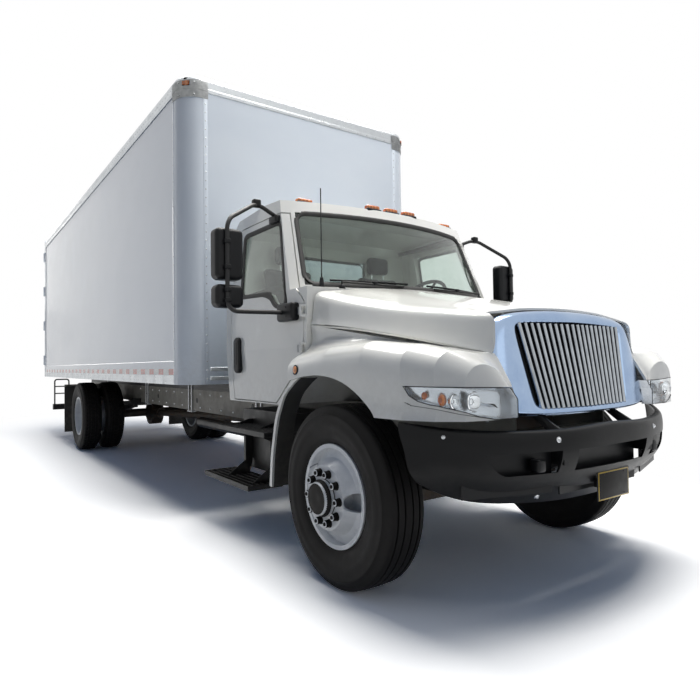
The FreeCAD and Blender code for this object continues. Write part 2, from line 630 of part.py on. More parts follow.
# Engine, gearbox with its shaft, radiator, tank, exhaust
def make_driveline():
    node("engine", block("Engine", "2 * engine_half", "engine_long", "engine_high", "-engine_half",
                         "-engine_front", "engine_low"))
    bell = "engine_long - engine_front"
    case = taper("Gearbox", "gearbox_radius", "gearbox_end_radius", "gearbox_long", "y", 0, bell,
                 "gearbox_up")
    start = size("engine_long - engine_front + gearbox_long")
    shaft = doc.addObject("Part::Cylinder", "Shaft")
    run = FreeCAD.Vector(0, size("wheelbase - pinion_long") - start,
                         size("tyre_radius - gearbox_up"))
    shaft.Placement = FreeCAD.Placement(FreeCAD.Vector(0, start, size("gearbox_up")),
                                        FreeCAD.Rotation(up_axis, run))
    bind(shaft, Radius="shaft_radius",
         Height="sqrt((wheelbase - pinion_long - (" + bell + " + gearbox_long)) ^ 2"
                " + (tyre_radius - gearbox_up) ^ 2) - column_clear / 2")
    node("driveline", fused("Driveline", case, shaft))
    node("radiator", block("Radiator", "2 * radiator_half", "radiator_thick", "radiator_high",
                           "-radiator_half", "-radiator_front", "rail_top + seating"))


# Box body: floor on its sills, walls, roof tray and rear frame
def make_box_floor():
    inner_half = "(box_half - box_wall - panel_inset)"
    boards = panel("FloorBoards", "XY", "box_bottom + sill_depth", "floor_board", [
        ("-" + inner_half, "box_start + front_wall"), (inner_half, "box_start + front_wall"),
        (inner_half, "frame_start"), ("-" + inner_half, "frame_start")])
    front = size("box_start + front_wall")
    near = size("pick_reach")
    rounded(boards, "corner_radius - front_wall + 2 * panel_inset",
            lambda edge: runs_along(edge, up_axis) and abs(edge.Vertexes[0].Y - front) < near)
    pieces = [boards]
    for side, x in (("Left", "rail_outer - sill_width"), ("Right", "-rail_outer")):
        pieces.append(block("LongSill" + side, "sill_width", "box_length - frame_depth",
                            "box_bottom - rail_top", x, "box_start", "rail_top"))
    count = int(size("(box_length - 2 * sill_first) / sill_pitch"))
    for step in range(count + 1):
        pieces.append(block("CrossSill%d" % step, "2 * " + inner_half, "sill_width", "sill_depth",
                            "-" + inner_half, "box_start + sill_first + %d * sill_pitch" % step,
                            "box_bottom"))
    node("box_floor", fused("BoxFloor", *pieces))


def make_box_sides():
    # the panel stands back between the bottom rail and the roof's side rail
    inner = "box_half - box_wall - panel_inset"
    wall = panel("SideWall", "XZ", "box_start + corner_depth",
                 "frame_start - box_start - corner_depth", [
                     (inner, "box_bottom"), ("box_half", "box_bottom"),
                     ("box_half", "box_bottom + bottom_rail"),
                     ("box_half - panel_inset", "box_bottom + bottom_rail + panel_inset"),
                     ("box_half - panel_inset", "wall_top"), (inner, "wall_top")])
    pair("box_sides", wall)


def make_box_front():
    # front wall and its two round corner posts
    back = "box_start + corner_depth"
    inner = "(box_half - box_wall)"
    body = panel("BoxFront", "XY", "box_bottom", "wall_top - box_bottom", [
        ("box_half", back), ("box_half", "box_start"), ("-box_half", "box_start"),
        ("-box_half", back), ("-" + inner, back), ("-" + inner, "box_start + front_wall"),
        (inner, "box_start + front_wall"), (inner, back)])
    corner = size("box_half")
    front = size("box_start")
    near = size("pick_reach")
    rounded(body, "corner_radius", lambda edge: runs_along(edge, up_axis)
            and abs(abs(edge.Vertexes[0].X) - corner) < near
            and abs(edge.Vertexes[0].Y - front) < near)
    inner_x = size(inner)
    inner_y = size("box_start + front_wall")
    rounded(body, "corner_radius - front_wall", lambda edge: runs_along(edge, up_axis)
            and abs(abs(edge.Vertexes[0].X) - inner_x) < near
            and abs(edge.Vertexes[0].Y - inner_y) < near)
    node("box_front", body)


def make_box_roof():
    # roof sheet with its front and side rails, open below and to the rear frame
    outer = panel("RoofOuter", "XY", "wall_top", "top_rail", [
        ("-box_half", "box_start"), ("box_half", "box_start"), ("box_half", "frame_start"),
        ("-box_half", "frame_start")])
    front = size("box_start")
    near = size("pick_reach")
    rounded(outer, "corner_radius", lambda edge: runs_along(edge, up_axis)
            and abs(edge.Vertexes[0].Y - front) < near)
    top = size("box_top")
    back = size("frame_start")
    rounded(outer, "top_round", lambda edge: min(end.Z for end in edge.Vertexes) > top - near
            and min(end.Y for end in edge.Vertexes) < back - near)
    inner_half = "(box_half - box_wall - panel_inset)"
    inner = block("RoofInner", "2 * " + inner_half, "frame_start - box_start - front_wall + overrun",
                  "top_rail - roof_thick + overrun", "-" + inner_half, "box_start + front_wall",
                  "wall_top - overrun")
    node("box_roof", cut("BoxRoof", outer, inner))


def make_rear_frame():
    ring = panel("RearRing", "XZ", "frame_start", "frame_depth", [
        ("-box_half", "box_bottom"), ("box_half", "box_bottom"), ("box_half", "box_top"),
        ("-box_half", "box_top")], [
        ("-opening_half", "box_bottom + door_sill"), ("opening_half", "box_bottom + door_sill"),
        ("opening_half", "box_top - door_head"), ("-opening_half", "box_top - door_head")])
    lugs = []
    for side, sign in (("Left", ""), ("Right", "-")):
        for step, z in enumerate(hinge_heights()):
            for end, low in (("Low", z + " - hinge_long / 2 - lug_high"),
                             ("High", z + " + hinge_long / 2")):
                x = "hinge_x - lug_wide" if not sign else "-hinge_x - hinge_barrel"
                plate = block("Lug%s%d%s" % (side, step, end), "lug_wide + hinge_barrel",
                              "hinge_stand + hinge_barrel", "lug_high - pin_clearance",
                              x, "box_end", low + " + pin_clearance / 2")
                bore = rod("LugBore%s%d%s" % (side, step, end), "hinge_pin + pin_clearance / 2",
                           "lug_high + pin_clearance", "z", sign + "hinge_x", "hinge_y", low)
                lugs.append(cut("BoredLug%s%d%s" % (side, step, end), plate, bore))
    node("rear_frame", fused("RearFrame", ring, *lugs))


def hinge_heights():
    # the hinges up each rear door, evenly spaced, as rules for the sheet
    run = "(leaf_top - leaf_bottom - 2 * hinge_end) / (hinge_count - 1)"
    return ["(leaf_bottom + hinge_end + %d * %s)" % (step, run)
            for step in range(int(size("hinge_count")))]


def make_rear_doors():
    inner = "leaf_clearance / 2"
    outer = "(opening_half - leaf_clearance)"
    leaf = block("RearLeaf", outer + " - " + inner, "leaf_thick", "leaf_top - leaf_bottom", inner,
                 "box_end - leaf_thick", "leaf_bottom")
    pieces = [leaf]
    for step, z in enumerate(hinge_heights()):
        pieces.append(rod("HingePin%d" % step, "hinge_pin", "hinge_long + 2 * lug_high", "z",
                          "hinge_x", "hinge_y", z + " - hinge_long / 2 - lug_high"))
        pieces.append(rod("HingeBarrel%d" % step, "hinge_barrel", "hinge_long", "z", "hinge_x",
                          "hinge_y", z + " - hinge_long / 2"))
        pieces.append(panel("HingeStrap%d" % step, "XY", z + " - strap_high / 2", "strap_high", [
            (outer + " - strap_reach", "box_end"),
            (outer + " - strap_reach", "box_end + strap_thick"),
            (outer + " - strap_reach / 3", "box_end + strap_thick"),
            ("hinge_x - hinge_pin", "hinge_y"), ("hinge_x", "hinge_y - hinge_pin"),
            (outer, "box_end")]))
    lock_y = "box_end + lock_stand + lock_rod"
    pieces.append(rod("LockRod", "lock_rod", "leaf_top - leaf_bottom - 2 * lock_end", "z",
                      "lock_inset", lock_y, "leaf_bottom + lock_end"))
    for step, z in enumerate(hinge_heights()):
        pieces.append(block("RodGuide%d" % step, "guide_wide", "lock_stand + lock_rod",
                            "guide_high", "lock_inset - guide_wide / 2", "box_end",
                            z + " - guide_high / 2"))
    pieces.append(block("LockHandle", "handle_long", "lock_rod", "handle_high", "lock_inset",
                        lock_y, "leaf_bottom + handle_up"))
    other_side("rear_door_right", node("rear_door_left", fused("RearDoor", *pieces)))


# Cab: one outer form, hollowed by a smaller one, with its panels cut from it
def cab_form(name, wall):
    # the side profile, the front profile and the raked round front, all held in by the wall
    side = panel(name + "Side", "YZ", "-waist_half - overrun", "2 * (waist_half + overrun)", [
        ("cab_toe", "cab_bottom" + wall), ("cab_nose" + wall, "cab_toe_up"),
        ("cab_nose" + wall, "brow_up" + wall.replace("+", "-")),
        ("crown_y", "crown_up" + wall.replace("+", "-")),
        ("roof_back_y", "roof_back_up" + wall.replace("+", "-")),
        ("cab_back" + wall.replace("+", "-"), "gutter_up - roof_back_round / 2"),
        ("cab_back_low" + wall.replace("+", "-"), "cab_bottom" + wall)])
    deck = block(name + "Deck", "2 * (waist_half + overrun)", "crown_y - cab_nose + overrun",
                 "crown_up - cowl_up + 2 * overrun", "-waist_half - overrun",
                 "cab_nose - overrun", "cowl_up" + wall.replace("+", "-"))
    notch = cut(name + "Notch", deck, screen_round(name + "Screen", wall))
    return cut(name, common(name + "Body", side, cab_front(name + "Front", wall)), notch)


def cab_front(name, wall):
    # the cab's outline seen from the front, run back past its rear wall
    inward = wall.replace("+", "-")
    outward = wall
    return panel(name, "XZ", "0", "cab_back + overrun", [
        ("sill_half" + inward, "cab_bottom - overrun"), ("waist_half" + inward, "waist_up"),
        ("belt_half" + inward, "belt_up"), ("gutter_half" + inward, "gutter_up"),
        ("gutter_half - roof_side_round / 4" + inward, "crown_up + overrun"),
        ("-gutter_half + roof_side_round / 4" + outward, "crown_up + overrun"),
        ("-gutter_half" + outward, "gutter_up"), ("-belt_half" + outward, "belt_up"),
        ("-waist_half" + outward, "waist_up"), ("-sill_half" + outward, "cab_bottom - overrun")])


def screen_round(name, wall):
    # a leaning cylinder whose front runs up the middle of the windshield
    item = doc.addObject("Part::Cylinder", name)
    item.Placement = FreeCAD.Placement(FreeCAD.Vector(), FreeCAD.Rotation(across_axis, -1))
    bind(item, Radius="glass_radius" + wall.replace("+", "-"), Height="2 * crown_up")
    item.setExpression("Placement.Rotation.Angle", cells("-glass_rake"))
    back = "cab_nose + glass_radius * cos(glass_rake) - crown_up * sin(glass_rake)"
    low = "cowl_up - glass_radius * sin(glass_rake) - crown_up * cos(glass_rake)"
    return place(item, 0, back, low)


def screen_outline(name, held_in):
    # the windshield's outline seen from the front
    return panel(name, "XZ", "0", "crown_y", [
        ("screen_low_half" + held_in, "screen_low - (0" + held_in + ")"),
        ("screen_high_half" + held_in, "screen_high" + held_in),
        ("-screen_high_half - (0" + held_in + ")", "screen_high" + held_in),
        ("-screen_low_half - (0" + held_in + ")", "screen_low - (0" + held_in + ")")])


def door_outline(name, gap):
    # the door's outline seen from the side, let out by the gap, outside the cab's inner side
    out = "+ " + gap
    back = "- " + gap
    side = panel(name + "Side", "YZ", "seat_x", "waist_half", [
        ("door_toe" + back, "door_bottom" + back), ("door_front" + back, "door_front_low" + back),
        ("door_front" + back, "door_front_high" + out), ("door_cowl" + back, "cowl_up" + out),
        ("door_top_front" + back, "door_top" + out), ("door_back_high" + out, "door_top" + out),
        ("door_back_belt" + out, "cowl_up"), ("door_back_low" + out, "door_bottom" + back)])
    return cut(name, side, cab_front(name + "Inner", "+ cab_wall + " + gap))


def window_outline(name, held_in):
    out = "- (0" + held_in + ")"
    return panel(name, "YZ", "seat_x", "waist_half", [
        ("window_front" + out, "window_low" + out), ("window_step" + held_in, "window_low" + out),
        ("window_rise" + held_in, "window_belt" + out),
        ("window_back" + held_in, "window_back_belt" + out),
        ("window_top_back" + held_in, "window_top" + held_in),
        ("window_top_front" + out, "window_top" + held_in)])


def make_cab():
    outer = cab_form("CabOuter", "+ 0")
    inner = cab_form("CabInner", "+ cab_wall")
    skin = cut("CabSkin", outer, inner)
    opening = door_outline("DoorOpening", "door_gap")
    back_window = block("BackWindowCut", "2 * back_window_half",
                        "cab_back - roof_back_y + 2 * overrun",
                        "back_window_high - back_window_low", "-back_window_half",
                        "roof_back_y - overrun", "back_window_low")
    shell = cut("CabPierced", skin, opening, mirrored("OtherOpening", opening),
                screen_outline("ScreenOpening", "+ 0"), back_window)
    lugs = door_lugs()
    node("cab_shell", fused("CabShell", shell, lugs, mirrored("OtherDoorLugs", lugs)))
    # windshield and back window
    layer = cut("ScreenLayer", screen_round("ScreenFace", "+ glass_back"),
                screen_round("ScreenBack", "+ glass_back + glass_thick"))
    screen = common("Windshield", layer, screen_outline("ScreenEdge", "- seating"))
    pane = block("BackPane", "2 * (back_window_half - seating)", "glass_thick",
                 "back_window_high - back_window_low - 2 * seating", "seating - back_window_half",
                 "cab_back - cab_wall / 2 - glass_thick", "back_window_low + seating")
    node("cab_glass", grouped("CabGlass", screen, pane))
    make_door(outer)


def door_lugs():
    # bored lugs on the pillar, over and under each hinge barrel of the left door
    inner = "waist_half - 2 * door_gap"
    edge = "door_front - door_gap"
    lugs = []
    for height in ("door_hinge_low", "door_hinge_high"):
        for end, low in (("Over", height + " + door_barrel_long / 2"),
                         ("Under", height + " - door_barrel_long / 2 - door_lug_high")):
            name = height.title().replace("_", "") + end
            plate = panel(name, "XY", low + " + pin_clearance / 2",
                          "door_lug_high - pin_clearance", [
                (inner, edge + " - door_lug_reach"), (inner, edge),
                ("door_hinge_x - door_barrel", edge),
                ("door_hinge_x - door_barrel", "door_front + door_barrel / 2"),
                ("door_hinge_x + door_barrel / 2", "door_front + door_barrel"),
                ("door_hinge_x + door_barrel", "door_front"),
                ("door_hinge_x + door_barrel / 2", "door_front - door_barrel")])
            bore = rod(name + "Bore", "door_pin + pin_clearance / 2",
                       "door_lug_high + pin_clearance", "z", "door_hinge_x", "door_front", low)
            lugs.append(cut(name + "Bored", plate, bore))
    return grouped("DoorLugs", *lugs)


def door_hinges():
    # a barrel with its pin and a leaf on the door's face, at two heights
    inner = "waist_half - 2 * door_gap"
    pieces = []
    for height in ("door_hinge_low", "door_hinge_high"):
        name = height.title().replace("_", "")
        pieces.append(rod(name + "Pin", "door_pin", "door_barrel_long + 2 * door_lug_high", "z",
                          "door_hinge_x", "door_front",
                          height + " - door_barrel_long / 2 - door_lug_high"))
        pieces.append(rod(name + "Barrel", "door_barrel", "door_barrel_long", "z", "door_hinge_x",
                          "door_front", height + " - door_barrel_long / 2"))
        pieces.append(panel(name + "Leaf", "XY", height + " - door_barrel_long / 2",
                            "door_barrel_long", [
            (inner, "door_front"), ("door_hinge_x", "door_front - door_pin"),
            ("door_hinge_x + door_pin", "door_front"),
            ("waist_half + door_leaf_thick", "door_front + door_leaf_long"),
            (inner, "door_front + door_leaf_long")]))
    return pieces


def make_door(outer):
    slab = common("DoorSlab", outer, door_outline("DoorEdge", "0"))
    hole = window_outline("WindowHole", "+ 0")
    pull = block("DoorHandle", "handle_out + cab_wall / 2", "handle_wide", "handle_tall",
                 "waist_half - cab_wall / 2", "handle_y - handle_wide / 2", "handle_low")
    door = node("door_left", fused("DoorLeft", cut("DoorHoled", slab, hole), pull, *door_hinges()))
    other_side("door_right", door)
    face = cut("GlassLayer", cab_form("GlassFace", "+ glass_back"),
               cab_form("GlassBack", "+ glass_back + glass_thick"))
    pane = common("DoorGlass", face, window_outline("GlassEdge", "- seating"))
    glass = node("door_glass_left", pane)
    other_side("door_glass_right", glass)


def pipe(points, bend, radius):
    # straight runs joined by round bends, as one solid tube
    corners = [FreeCAD.Vector(*[size(rule) for rule in point]) for point in points]
    edges = []
    start = corners[0]
    for before, corner, after in zip(corners, corners[1:], corners[2:]):
        back = (before - corner).normalize()
        ahead = (after - corner).normalize()
        half = back.getAngle(ahead) / 2
        reach = bend / math.tan(half)
        first = corner + back * reach
        last = corner + ahead * reach
        middle = corner + (back + ahead).normalize() * (bend / math.sin(half) - bend)
        edges.append(Part.makeLine(start, first))
        edges.append(Part.Arc(first, middle, last).toShape())
        start = last
    edges.append(Part.makeLine(start, corners[-1]))
    path = Part.Wire(edges)
    ring = Part.Wire(Part.makeCircle(radius, corners[0], corners[1] - corners[0]))
    return path.makePipeShell([ring], True, False)


def make_mirrors():
    arm = pipe([("arm_top_x", "arm_top_y", "arm_top_up"),
                ("arm_elbow_x", "arm_elbow_y", "arm_elbow_up"),
                ("arm_out_x", "arm_out_y", "arm_out_up"), ("arm_out_x", "arm_out_y", "arm_low_up"),
                ("belt_half - cab_wall", "arm_foot_y", "arm_low_up")], size("arm_bend"),
               size("arm_radius"))
    arms = feature("MirrorArm", arm)
    head = block("MirrorHead", "mirror_wide", "mirror_deep", "mirror_tall",
                 "mirror_x - mirror_wide / 2", "mirror_y", "mirror_low")
    spot = block("SpotHead", "mirror_wide", "mirror_deep", "spot_tall",
                 "mirror_x - mirror_wide / 2", "mirror_y", "spot_low")
    whole = cut("MirrorSeated", fused("Mirror", arms, head, spot), doc.getObject("CabOuter"))
    other_side("mirror_right", node("mirror_left", whole))


def make_cab_inside():
    board = panel("Board", "XZ", "cab_nose + cab_wall + seating",
                  "dash_back - cab_nose - cab_wall", [
                      ("-dash_half", "dash_low"), ("dash_half", "dash_low"),
                      ("dash_half", "dash_up"), ("-dash_half", "dash_up")])
    # the column leans with the wheel and ends just behind its hub
    column = cut("Column", rod("ColumnTube", "column_radius", "column_long", "z", 0, 0,
                               "-column_long - steer_hub_thick - column_clear"),
                 rod("ColumnBore", "column_shaft + pin_clearance / 2", "column_long", "z", 0, 0,
                     "-column_long / 2 - steer_hub_thick - column_clear"))
    node("dashboard", fused("Dashboard", board, lean_back(column)))
    # both seats, each a pedestal, cushion, back and headrest in one closed form
    x = "seat_x - seat_wide / 2"
    seat = panel("Seat", "YZ", x, "seat_wide", [
        ("seat_front + seat_base_inset", "cab_bottom + cab_wall"),
        ("seat_front + seat_base_inset", "seat_base_up"), ("seat_front", "seat_base_up"),
        ("seat_front", "cushion_up"), ("seat_back_y", "cushion_up"),
        ("seat_back_y + seat_base_inset", "seat_top"),
        ("seat_back_y + seat_base_inset + seat_back_thick", "seat_top"),
        ("seat_back_y + seat_back_thick", "seat_base_up"),
        ("seat_back_y", "seat_base_up"), ("seat_back_y", "cab_bottom + cab_wall")])
    rest = block("Headrest", "headrest_wide", "headrest_thick",
                 "headrest_top - seat_top + headrest_lift", "seat_x - headrest_wide / 2",
                 "seat_back_y + seat_base_inset", "seat_top - headrest_lift")
    pair("seats", fused("SeatWhole", seat, rest))
    ring = doc.addObject("Part::Torus", "SteerRim")
    bind(ring, Radius1="steer_radius", Radius2="steer_grip")
    hub = rod("SteerHub", "steer_hub", "steer_hub_thick", "z", 0, 0, "-steer_hub_thick")
    spokes = [block("SteerSpoke", "2 * steer_radius", "steer_grip", "steer_grip", "-steer_radius",
                    "-steer_grip / 2", "-steer_grip / 2"),
              block("SteerSpokeLow", "steer_grip", "steer_radius", "steer_grip",
                    "-steer_grip / 2", "-steer_radius", "-steer_grip / 2")]
    shaft = rod("SteerShaft", "column_shaft", "column_long / 4", "z", 0, 0,
                "-steer_hub_thick - column_long / 4 + seating")
    node("steering_wheel", lean_back(fused("SteerWheel", ring, hub, shaft, *spokes)))


def lean_back(item):
    # from upright at the origin to the steering wheel's place and tilt
    turn(item, across_axis, -1)
    item.setExpression("Placement.Rotation.Angle", cells("-steer_tilt"))
    return place(item, "seat_x", "steer_y", "steer_up")


def between(first, last, share):
    return first + (last - first) * share


def hood_station(step):
    # half width and height of the seam, the shoulder and the crown at one place along the hood
    y = between(size("hood_back"), size("hood_front"), hood_run_shares[step])
    seam_x = between(size("hood_back_half"), size("hood_front_half"), hood_taper_shares[step])
    seam_z = between(size("seam_back_up"), size("seam_front_up"), seam_drop_shares[step])
    shoulder_x = between(size("shoulder_back_half"), size("shoulder_front_half"),
                         hood_taper_shares[step])
    shoulder_z = between(size("shoulder_back_up"), size("shoulder_front_up"),
                         shoulder_drop_shares[step])
    crown_z = between(size("crown_back_up"), size("crown_front_up"), crown_drop_shares[step])
    return y, seam_x, seam_z, shoulder_x, shoulder_z, crown_z


def grille_lean(x, z, back):
    # how far along the truck the raked grille lies at a place on its face, or behind it
    share = (z - size("surround_low_up")) / size("surround_top_up - surround_low_up")
    ridge = size("ridge_out") * (1 - abs(x) / size("surround_top_half"))
    return between(size("grille_low_y"), size("grille_top_y"), share) - ridge + back


def grille_room():
    # all that lies before the back of the grille, as wide as its surround
    room = []
    for sign in (1, -1):
        corners = []
        for x, z in ((0, "cowl_up"), ("surround_top_half", "cowl_up"),
                     ("surround_top_half", "rail_bottom"), (0, "rail_bottom")):
            across = size(x) if x else 0
            along = grille_lean(across, size(z), size("surround_deep + seating"))
            corners.append(FreeCAD.Vector(sign * across, along, size(z)))
        face = Part.Face(Part.makePolygon(corners + corners[:1]))
        room.append(face.extrude(FreeCAD.Vector(0, -size("front_reach"), 0)))
    return room[0].fuse(room[1])


def hood_curve(step, inset):
    # one section of the hood, from seam over the crown to seam, held in by the inset
    y, seam_x, seam_z, shoulder_x, shoulder_z, crown_z = hood_station(step)
    side_x = between(seam_x, shoulder_x, hood_side_share)
    side_z = between(seam_z, shoulder_z, hood_side_share)
    half = [(seam_x - inset, seam_z), (side_x - inset, side_z),
            (shoulder_x - inset, shoulder_z - inset / 2)]
    for across, up in brow_shares:
        half.append((shoulder_x * across, between(shoulder_z, crown_z, up) - inset))
    half.append((0, crown_z - inset))
    points = [FreeCAD.Vector(x, y, z) for x, z in half]
    points += [FreeCAD.Vector(-x, y, z) for x, z in reversed(half[:-1])]
    curve = Part.BSplineCurve()
    curve.interpolate(points)
    return curve.toShape(), points[0], points[-1]


def hood_room():
    # the space the hood takes up over its seams, a seam's width larger
    sections = []
    for step in range(len(hood_run_shares)):
        over, left_end, right_end = hood_curve(step, -size("seam_clear"))
        sections.append(Part.Wire([over, Part.makeLine(right_end, left_end)]))
    room = Part.makeLoft(sections, True, False)
    room.translate(FreeCAD.Vector(0, 0, -size("seam_clear")))
    return room


def make_hood():
    sections = []
    for step in range(len(hood_run_shares)):
        over, over_left, over_right = hood_curve(step, 0)
        under, under_left, under_right = hood_curve(step, size("hood_wall"))
        sections.append(Part.Wire([over, Part.makeLine(over_right, under_right), under,
                                   Part.makeLine(under_left, over_left)]))
    whole = Part.makeLoft(sections, True, False)
    node("hood", feature("Hood", whole.cut(grille_room())))


def fender_form(inset, out):
    # the solid under the fender's outer skin, held in by the inset; it reaches in past the seam
    sections = []
    last = len(fender_run_shares) - 1
    for step, share in enumerate(fender_run_shares):
        y = between(size("hood_back"), size("fender_front") + inset, share)
        half = size("fender_half") * fender_width_shares[step] - inset
        low = size("fender_low") - out
        crest = between(size("fender_front_up"), size("fender_crest_up"),
                        fender_crest_shares[step]) - inset
        hood_share = min(share * (size("hood_back") - size("fender_front"))
                         / (size("hood_back") - size("hood_front")), 1)
        seam_x = between(size("hood_back_half"), size("hood_front_half"), hood_share ** seam_taper_power)
        seam_z = between(size("seam_back_up"), size("seam_front_up"), hood_share) - inset
        seam_z = max(seam_z - size("seam_clear"), crest + size("seam_clear"))
        if y < size("hood_front"):
            seam_z = between(crest, size("fender_low"), fender_nose_share)
        seam_x = min(seam_x, half * crest_in_shares[step] - size("seam_clear"))
        edge = size("top_round")
        inner = seam_x - inset - out - size("overrun")
        out_share, up_share = fender_top_shares
        corners = [(inner, low), (inner, seam_z), (seam_x - inset, seam_z),
                   (between(seam_x, half, out_share), between(seam_z, crest, up_share)),
                   (half - edge, crest - edge / 4), (half - edge / 4, crest - edge),
                   (half, between(low, crest, fender_side_share)), (half, low)]
        points = [FreeCAD.Vector(x, y, z) for x, z in corners]
        curve = Part.BSplineCurve()
        curve.interpolate(points[2:])
        sections.append(Part.Wire([Part.makeLine(points[0], points[1]),
                                   Part.makeLine(points[1], points[2]), curve.toShape(),
                                   Part.makeLine(points[-1], points[0])]))
    return Part.makeLoft(sections, True, True)


def lamp_room(clear):
    # the front corner of the fender between its upper and lower edges, let out by the clearance
    shares = ["%g * fender_half" % share for share in lamp_across_shares]
    rows = [("grille_top_half + surround_deep", "fender_low - seating"),
            (shares[0], "fender_low + seam_clear"), (shares[1], "fender_low + 3 * hood_wall"),
            (shares[2], "fender_low + 6 * hood_wall"), (shares[3], "fender_low + 10 * hood_wall"),
            (shares[4], "lamp_up + seam_clear"), ("surround_top_half", "lamp_up - hood_wall")]
    corners = [FreeCAD.Vector(size(across), size("fender_front - overrun"), size(up))
               for across, up in rows]
    face = Part.Face(Part.makePolygon(corners + corners[:1]))
    if clear:
        face = face.makeOffset2D(clear)
    return face.extrude(FreeCAD.Vector(0, size("lamp_deep"), 0))


def make_fenders():
    outer = fender_form(0, 0)
    shell = outer.cut(fender_form(size("hood_wall"), size("overrun")))
    # wheel arch, cut through the side
    side = size("cab_wall + fender_half")
    back_share, front_share, low_share = arch_along_shares
    points = [("arch_back", "arch_back_up"),
              ("arch_back * %g" % back_share, "arch_up - hood_wall"), ("0", "arch_up"),
              ("arch_front * %g" % front_share, "arch_up - 4 * hood_wall"),
              ("arch_front * %g" % low_share, "fender_low + 6 * hood_wall"),
              ("arch_front", "fender_low")]
    rim = Part.BSplineCurve()
    rim.interpolate([FreeCAD.Vector(side, size(along), size(up)) for along, up in points])
    low = size("fender_low - overrun")
    corners = [FreeCAD.Vector(side, size("arch_front"), size("fender_low")),
               FreeCAD.Vector(side, size("arch_front"), low),
               FreeCAD.Vector(side, size("hood_back + overrun"), low),
               FreeCAD.Vector(side, size("hood_back + overrun"), size("arch_back_up")),
               FreeCAD.Vector(side, size("arch_back"), size("arch_back_up"))]
    edges = [rim.toShape()] + [Part.makeLine(one, two) for one, two in zip(corners, corners[1:])]
    arch = Part.Face(Part.Wire(Part.sortEdges(edges)[0]))
    arch = arch.extrude(FreeCAD.Vector(-side + size("hood_back_half - overrun"), 0, 0))
    shell = shell.cut(arch)
    # headlamp: a solid lens block that fills the front corner
    lamp = outer.cut(fender_form(size("lamp_thick"), size("overrun"))).common(lamp_room(0))
    shell = shell.cut(lamp_room(size("lamp_clear")))
    room = grille_room()
    pair("fenders", feature("Fender", shell.cut(room).cut(hood_room())))
    pair("headlamps", feature("Headlamp", lamp.cut(room)))


def grille_plate(top_x, top_z, low_x, low_z, out, depth):
    # one half of a plate that leans with the grille; its face runs out to the ridge
    corners = [(0, low_z), (low_x, low_z), (top_x, top_z), (0, top_z)]
    points = [FreeCAD.Vector(x, grille_lean(x, z, out), z) for x, z in corners]
    face = Part.Face(Part.makePolygon(points + points[:1]))
    return face.extrude(FreeCAD.Vector(0, depth, 0))


def make_grille():
    # a raked surround with a low ridge up its middle, and upright slats in each half
    deep = size("surround_deep")
    plate = grille_plate(size("surround_top_half"), size("surround_top_up"),
                         size("surround_low_half"), size("surround_low_up"), 0, deep)
    hole = grille_plate(size("grille_top_half"), size("grille_top_up"), size("grille_low_half"),
                        size("grille_low_up"), -deep, 3 * deep)
    rim = plate.cut(hole)
    wide = size("slat_wide")
    slat_top = size("grille_top_up + slat_wide")
    slat_low = size("grille_low_up - slat_wide")
    bar = grille_plate(wide, slat_top, wide, slat_low, 0, deep)
    slats = []
    count = int(size("slat_count"))
    for step in range(count):
        share = (step + 1 / 2) / count
        upper = between(wide, size("grille_top_half"), share)
        lower = between(wide, size("grille_low_half"), share)
        slat = grille_plate(upper + wide / 2, slat_top, lower + wide / 2, slat_low,
                            size("slat_deep") / 2, size("slat_deep"))
        inner = grille_plate(upper - wide / 2, size("surround_top_up"), lower - wide / 2,
                             size("surround_low_up"), -deep, 3 * deep)
        slats.append(slat.cut(inner))
    arm = hinge_arm()
    half = rim.fuse([bar, arm] + slats)
    whole = half.fuse(half.mirror(FreeCAD.Vector(), across_axis)).removeSplitter()
    node("grille", feature("Grille", whole))


def hinge_arm():
    # the arm that carries the hood down to its pivot, with the pivot pin
    x = size("hood_arm_x")
    rows = [("hood_pivot_y - arm_eye", "hood_pivot_up - arm_eye"),
            ("hood_pivot_y + arm_eye", "hood_pivot_up - arm_eye"),
            ("grille_low_y + surround_deep + 2 * arm_eye", "surround_low_up"),
            ("grille_low_y + surround_deep + 2 * arm_eye", "surround_low_up + 3 * arm_eye"),
            ("grille_low_y + surround_deep", "surround_low_up + 3 * arm_eye"),
            ("grille_low_y + surround_deep - arm_eye / 2", "surround_low_up + arm_eye / 2"),
            ("hood_pivot_y - arm_eye", "hood_pivot_up + arm_eye")]
    corners = [FreeCAD.Vector(x, size(along), size(up)) for along, up in rows]
    plate = Part.Face(Part.makePolygon(corners + corners[:1]))
    plate = plate.extrude(FreeCAD.Vector(size("arm_plate"), 0, 0))
    pin = Part.makeCylinder(size("hood_pin"), size("rail_outer - hood_arm_x"),
                            FreeCAD.Vector(x, size("hood_pivot_y"), size("hood_pivot_up")),
                            across_axis)
    return plate.fuse(pin)


def bumper_tuck(up):
    # how far the face leans in under the truck at a height below its knee
    below = max(size("bumper_knee_up") - up, 0) / size("bumper_knee_up - bumper_low")
    return size("bumper_tuck") * below ** tuck_power


def bumper_section(step, sign, inset):
    # the bumper's side view at one station, from the back of its rolled lip to its lower edge
    x = sign * between(0, size("bumper_half"), bumper_across_shares[step])
    y = between(size("bumper_front_y"), size("bumper_end_y"), bumper_back_shares[step]) + inset
    top = between(size("bumper_mid_up"), size("bumper_end_up"), bumper_top_shares[step]) - inset
    low = between(size("bumper_low"), size("bumper_end_low"), bumper_low_shares[step])
    bend = size("lip_round") - inset
    rows = [(y + size("lip_deep") - inset, top), (y + bend, top),
            (y + bend * lip_bend_share, top - bend * lip_bend_share), (y, top - bend)]
    for share in bumper_face_shares[1:]:
        up = between(top - bend, low, share)
        rows.append((y + bumper_tuck(up), up))
    curve = Part.BSplineCurve()
    curve.interpolate([FreeCAD.Vector(x, along, up) for along, up in rows])
    return curve.toShape()


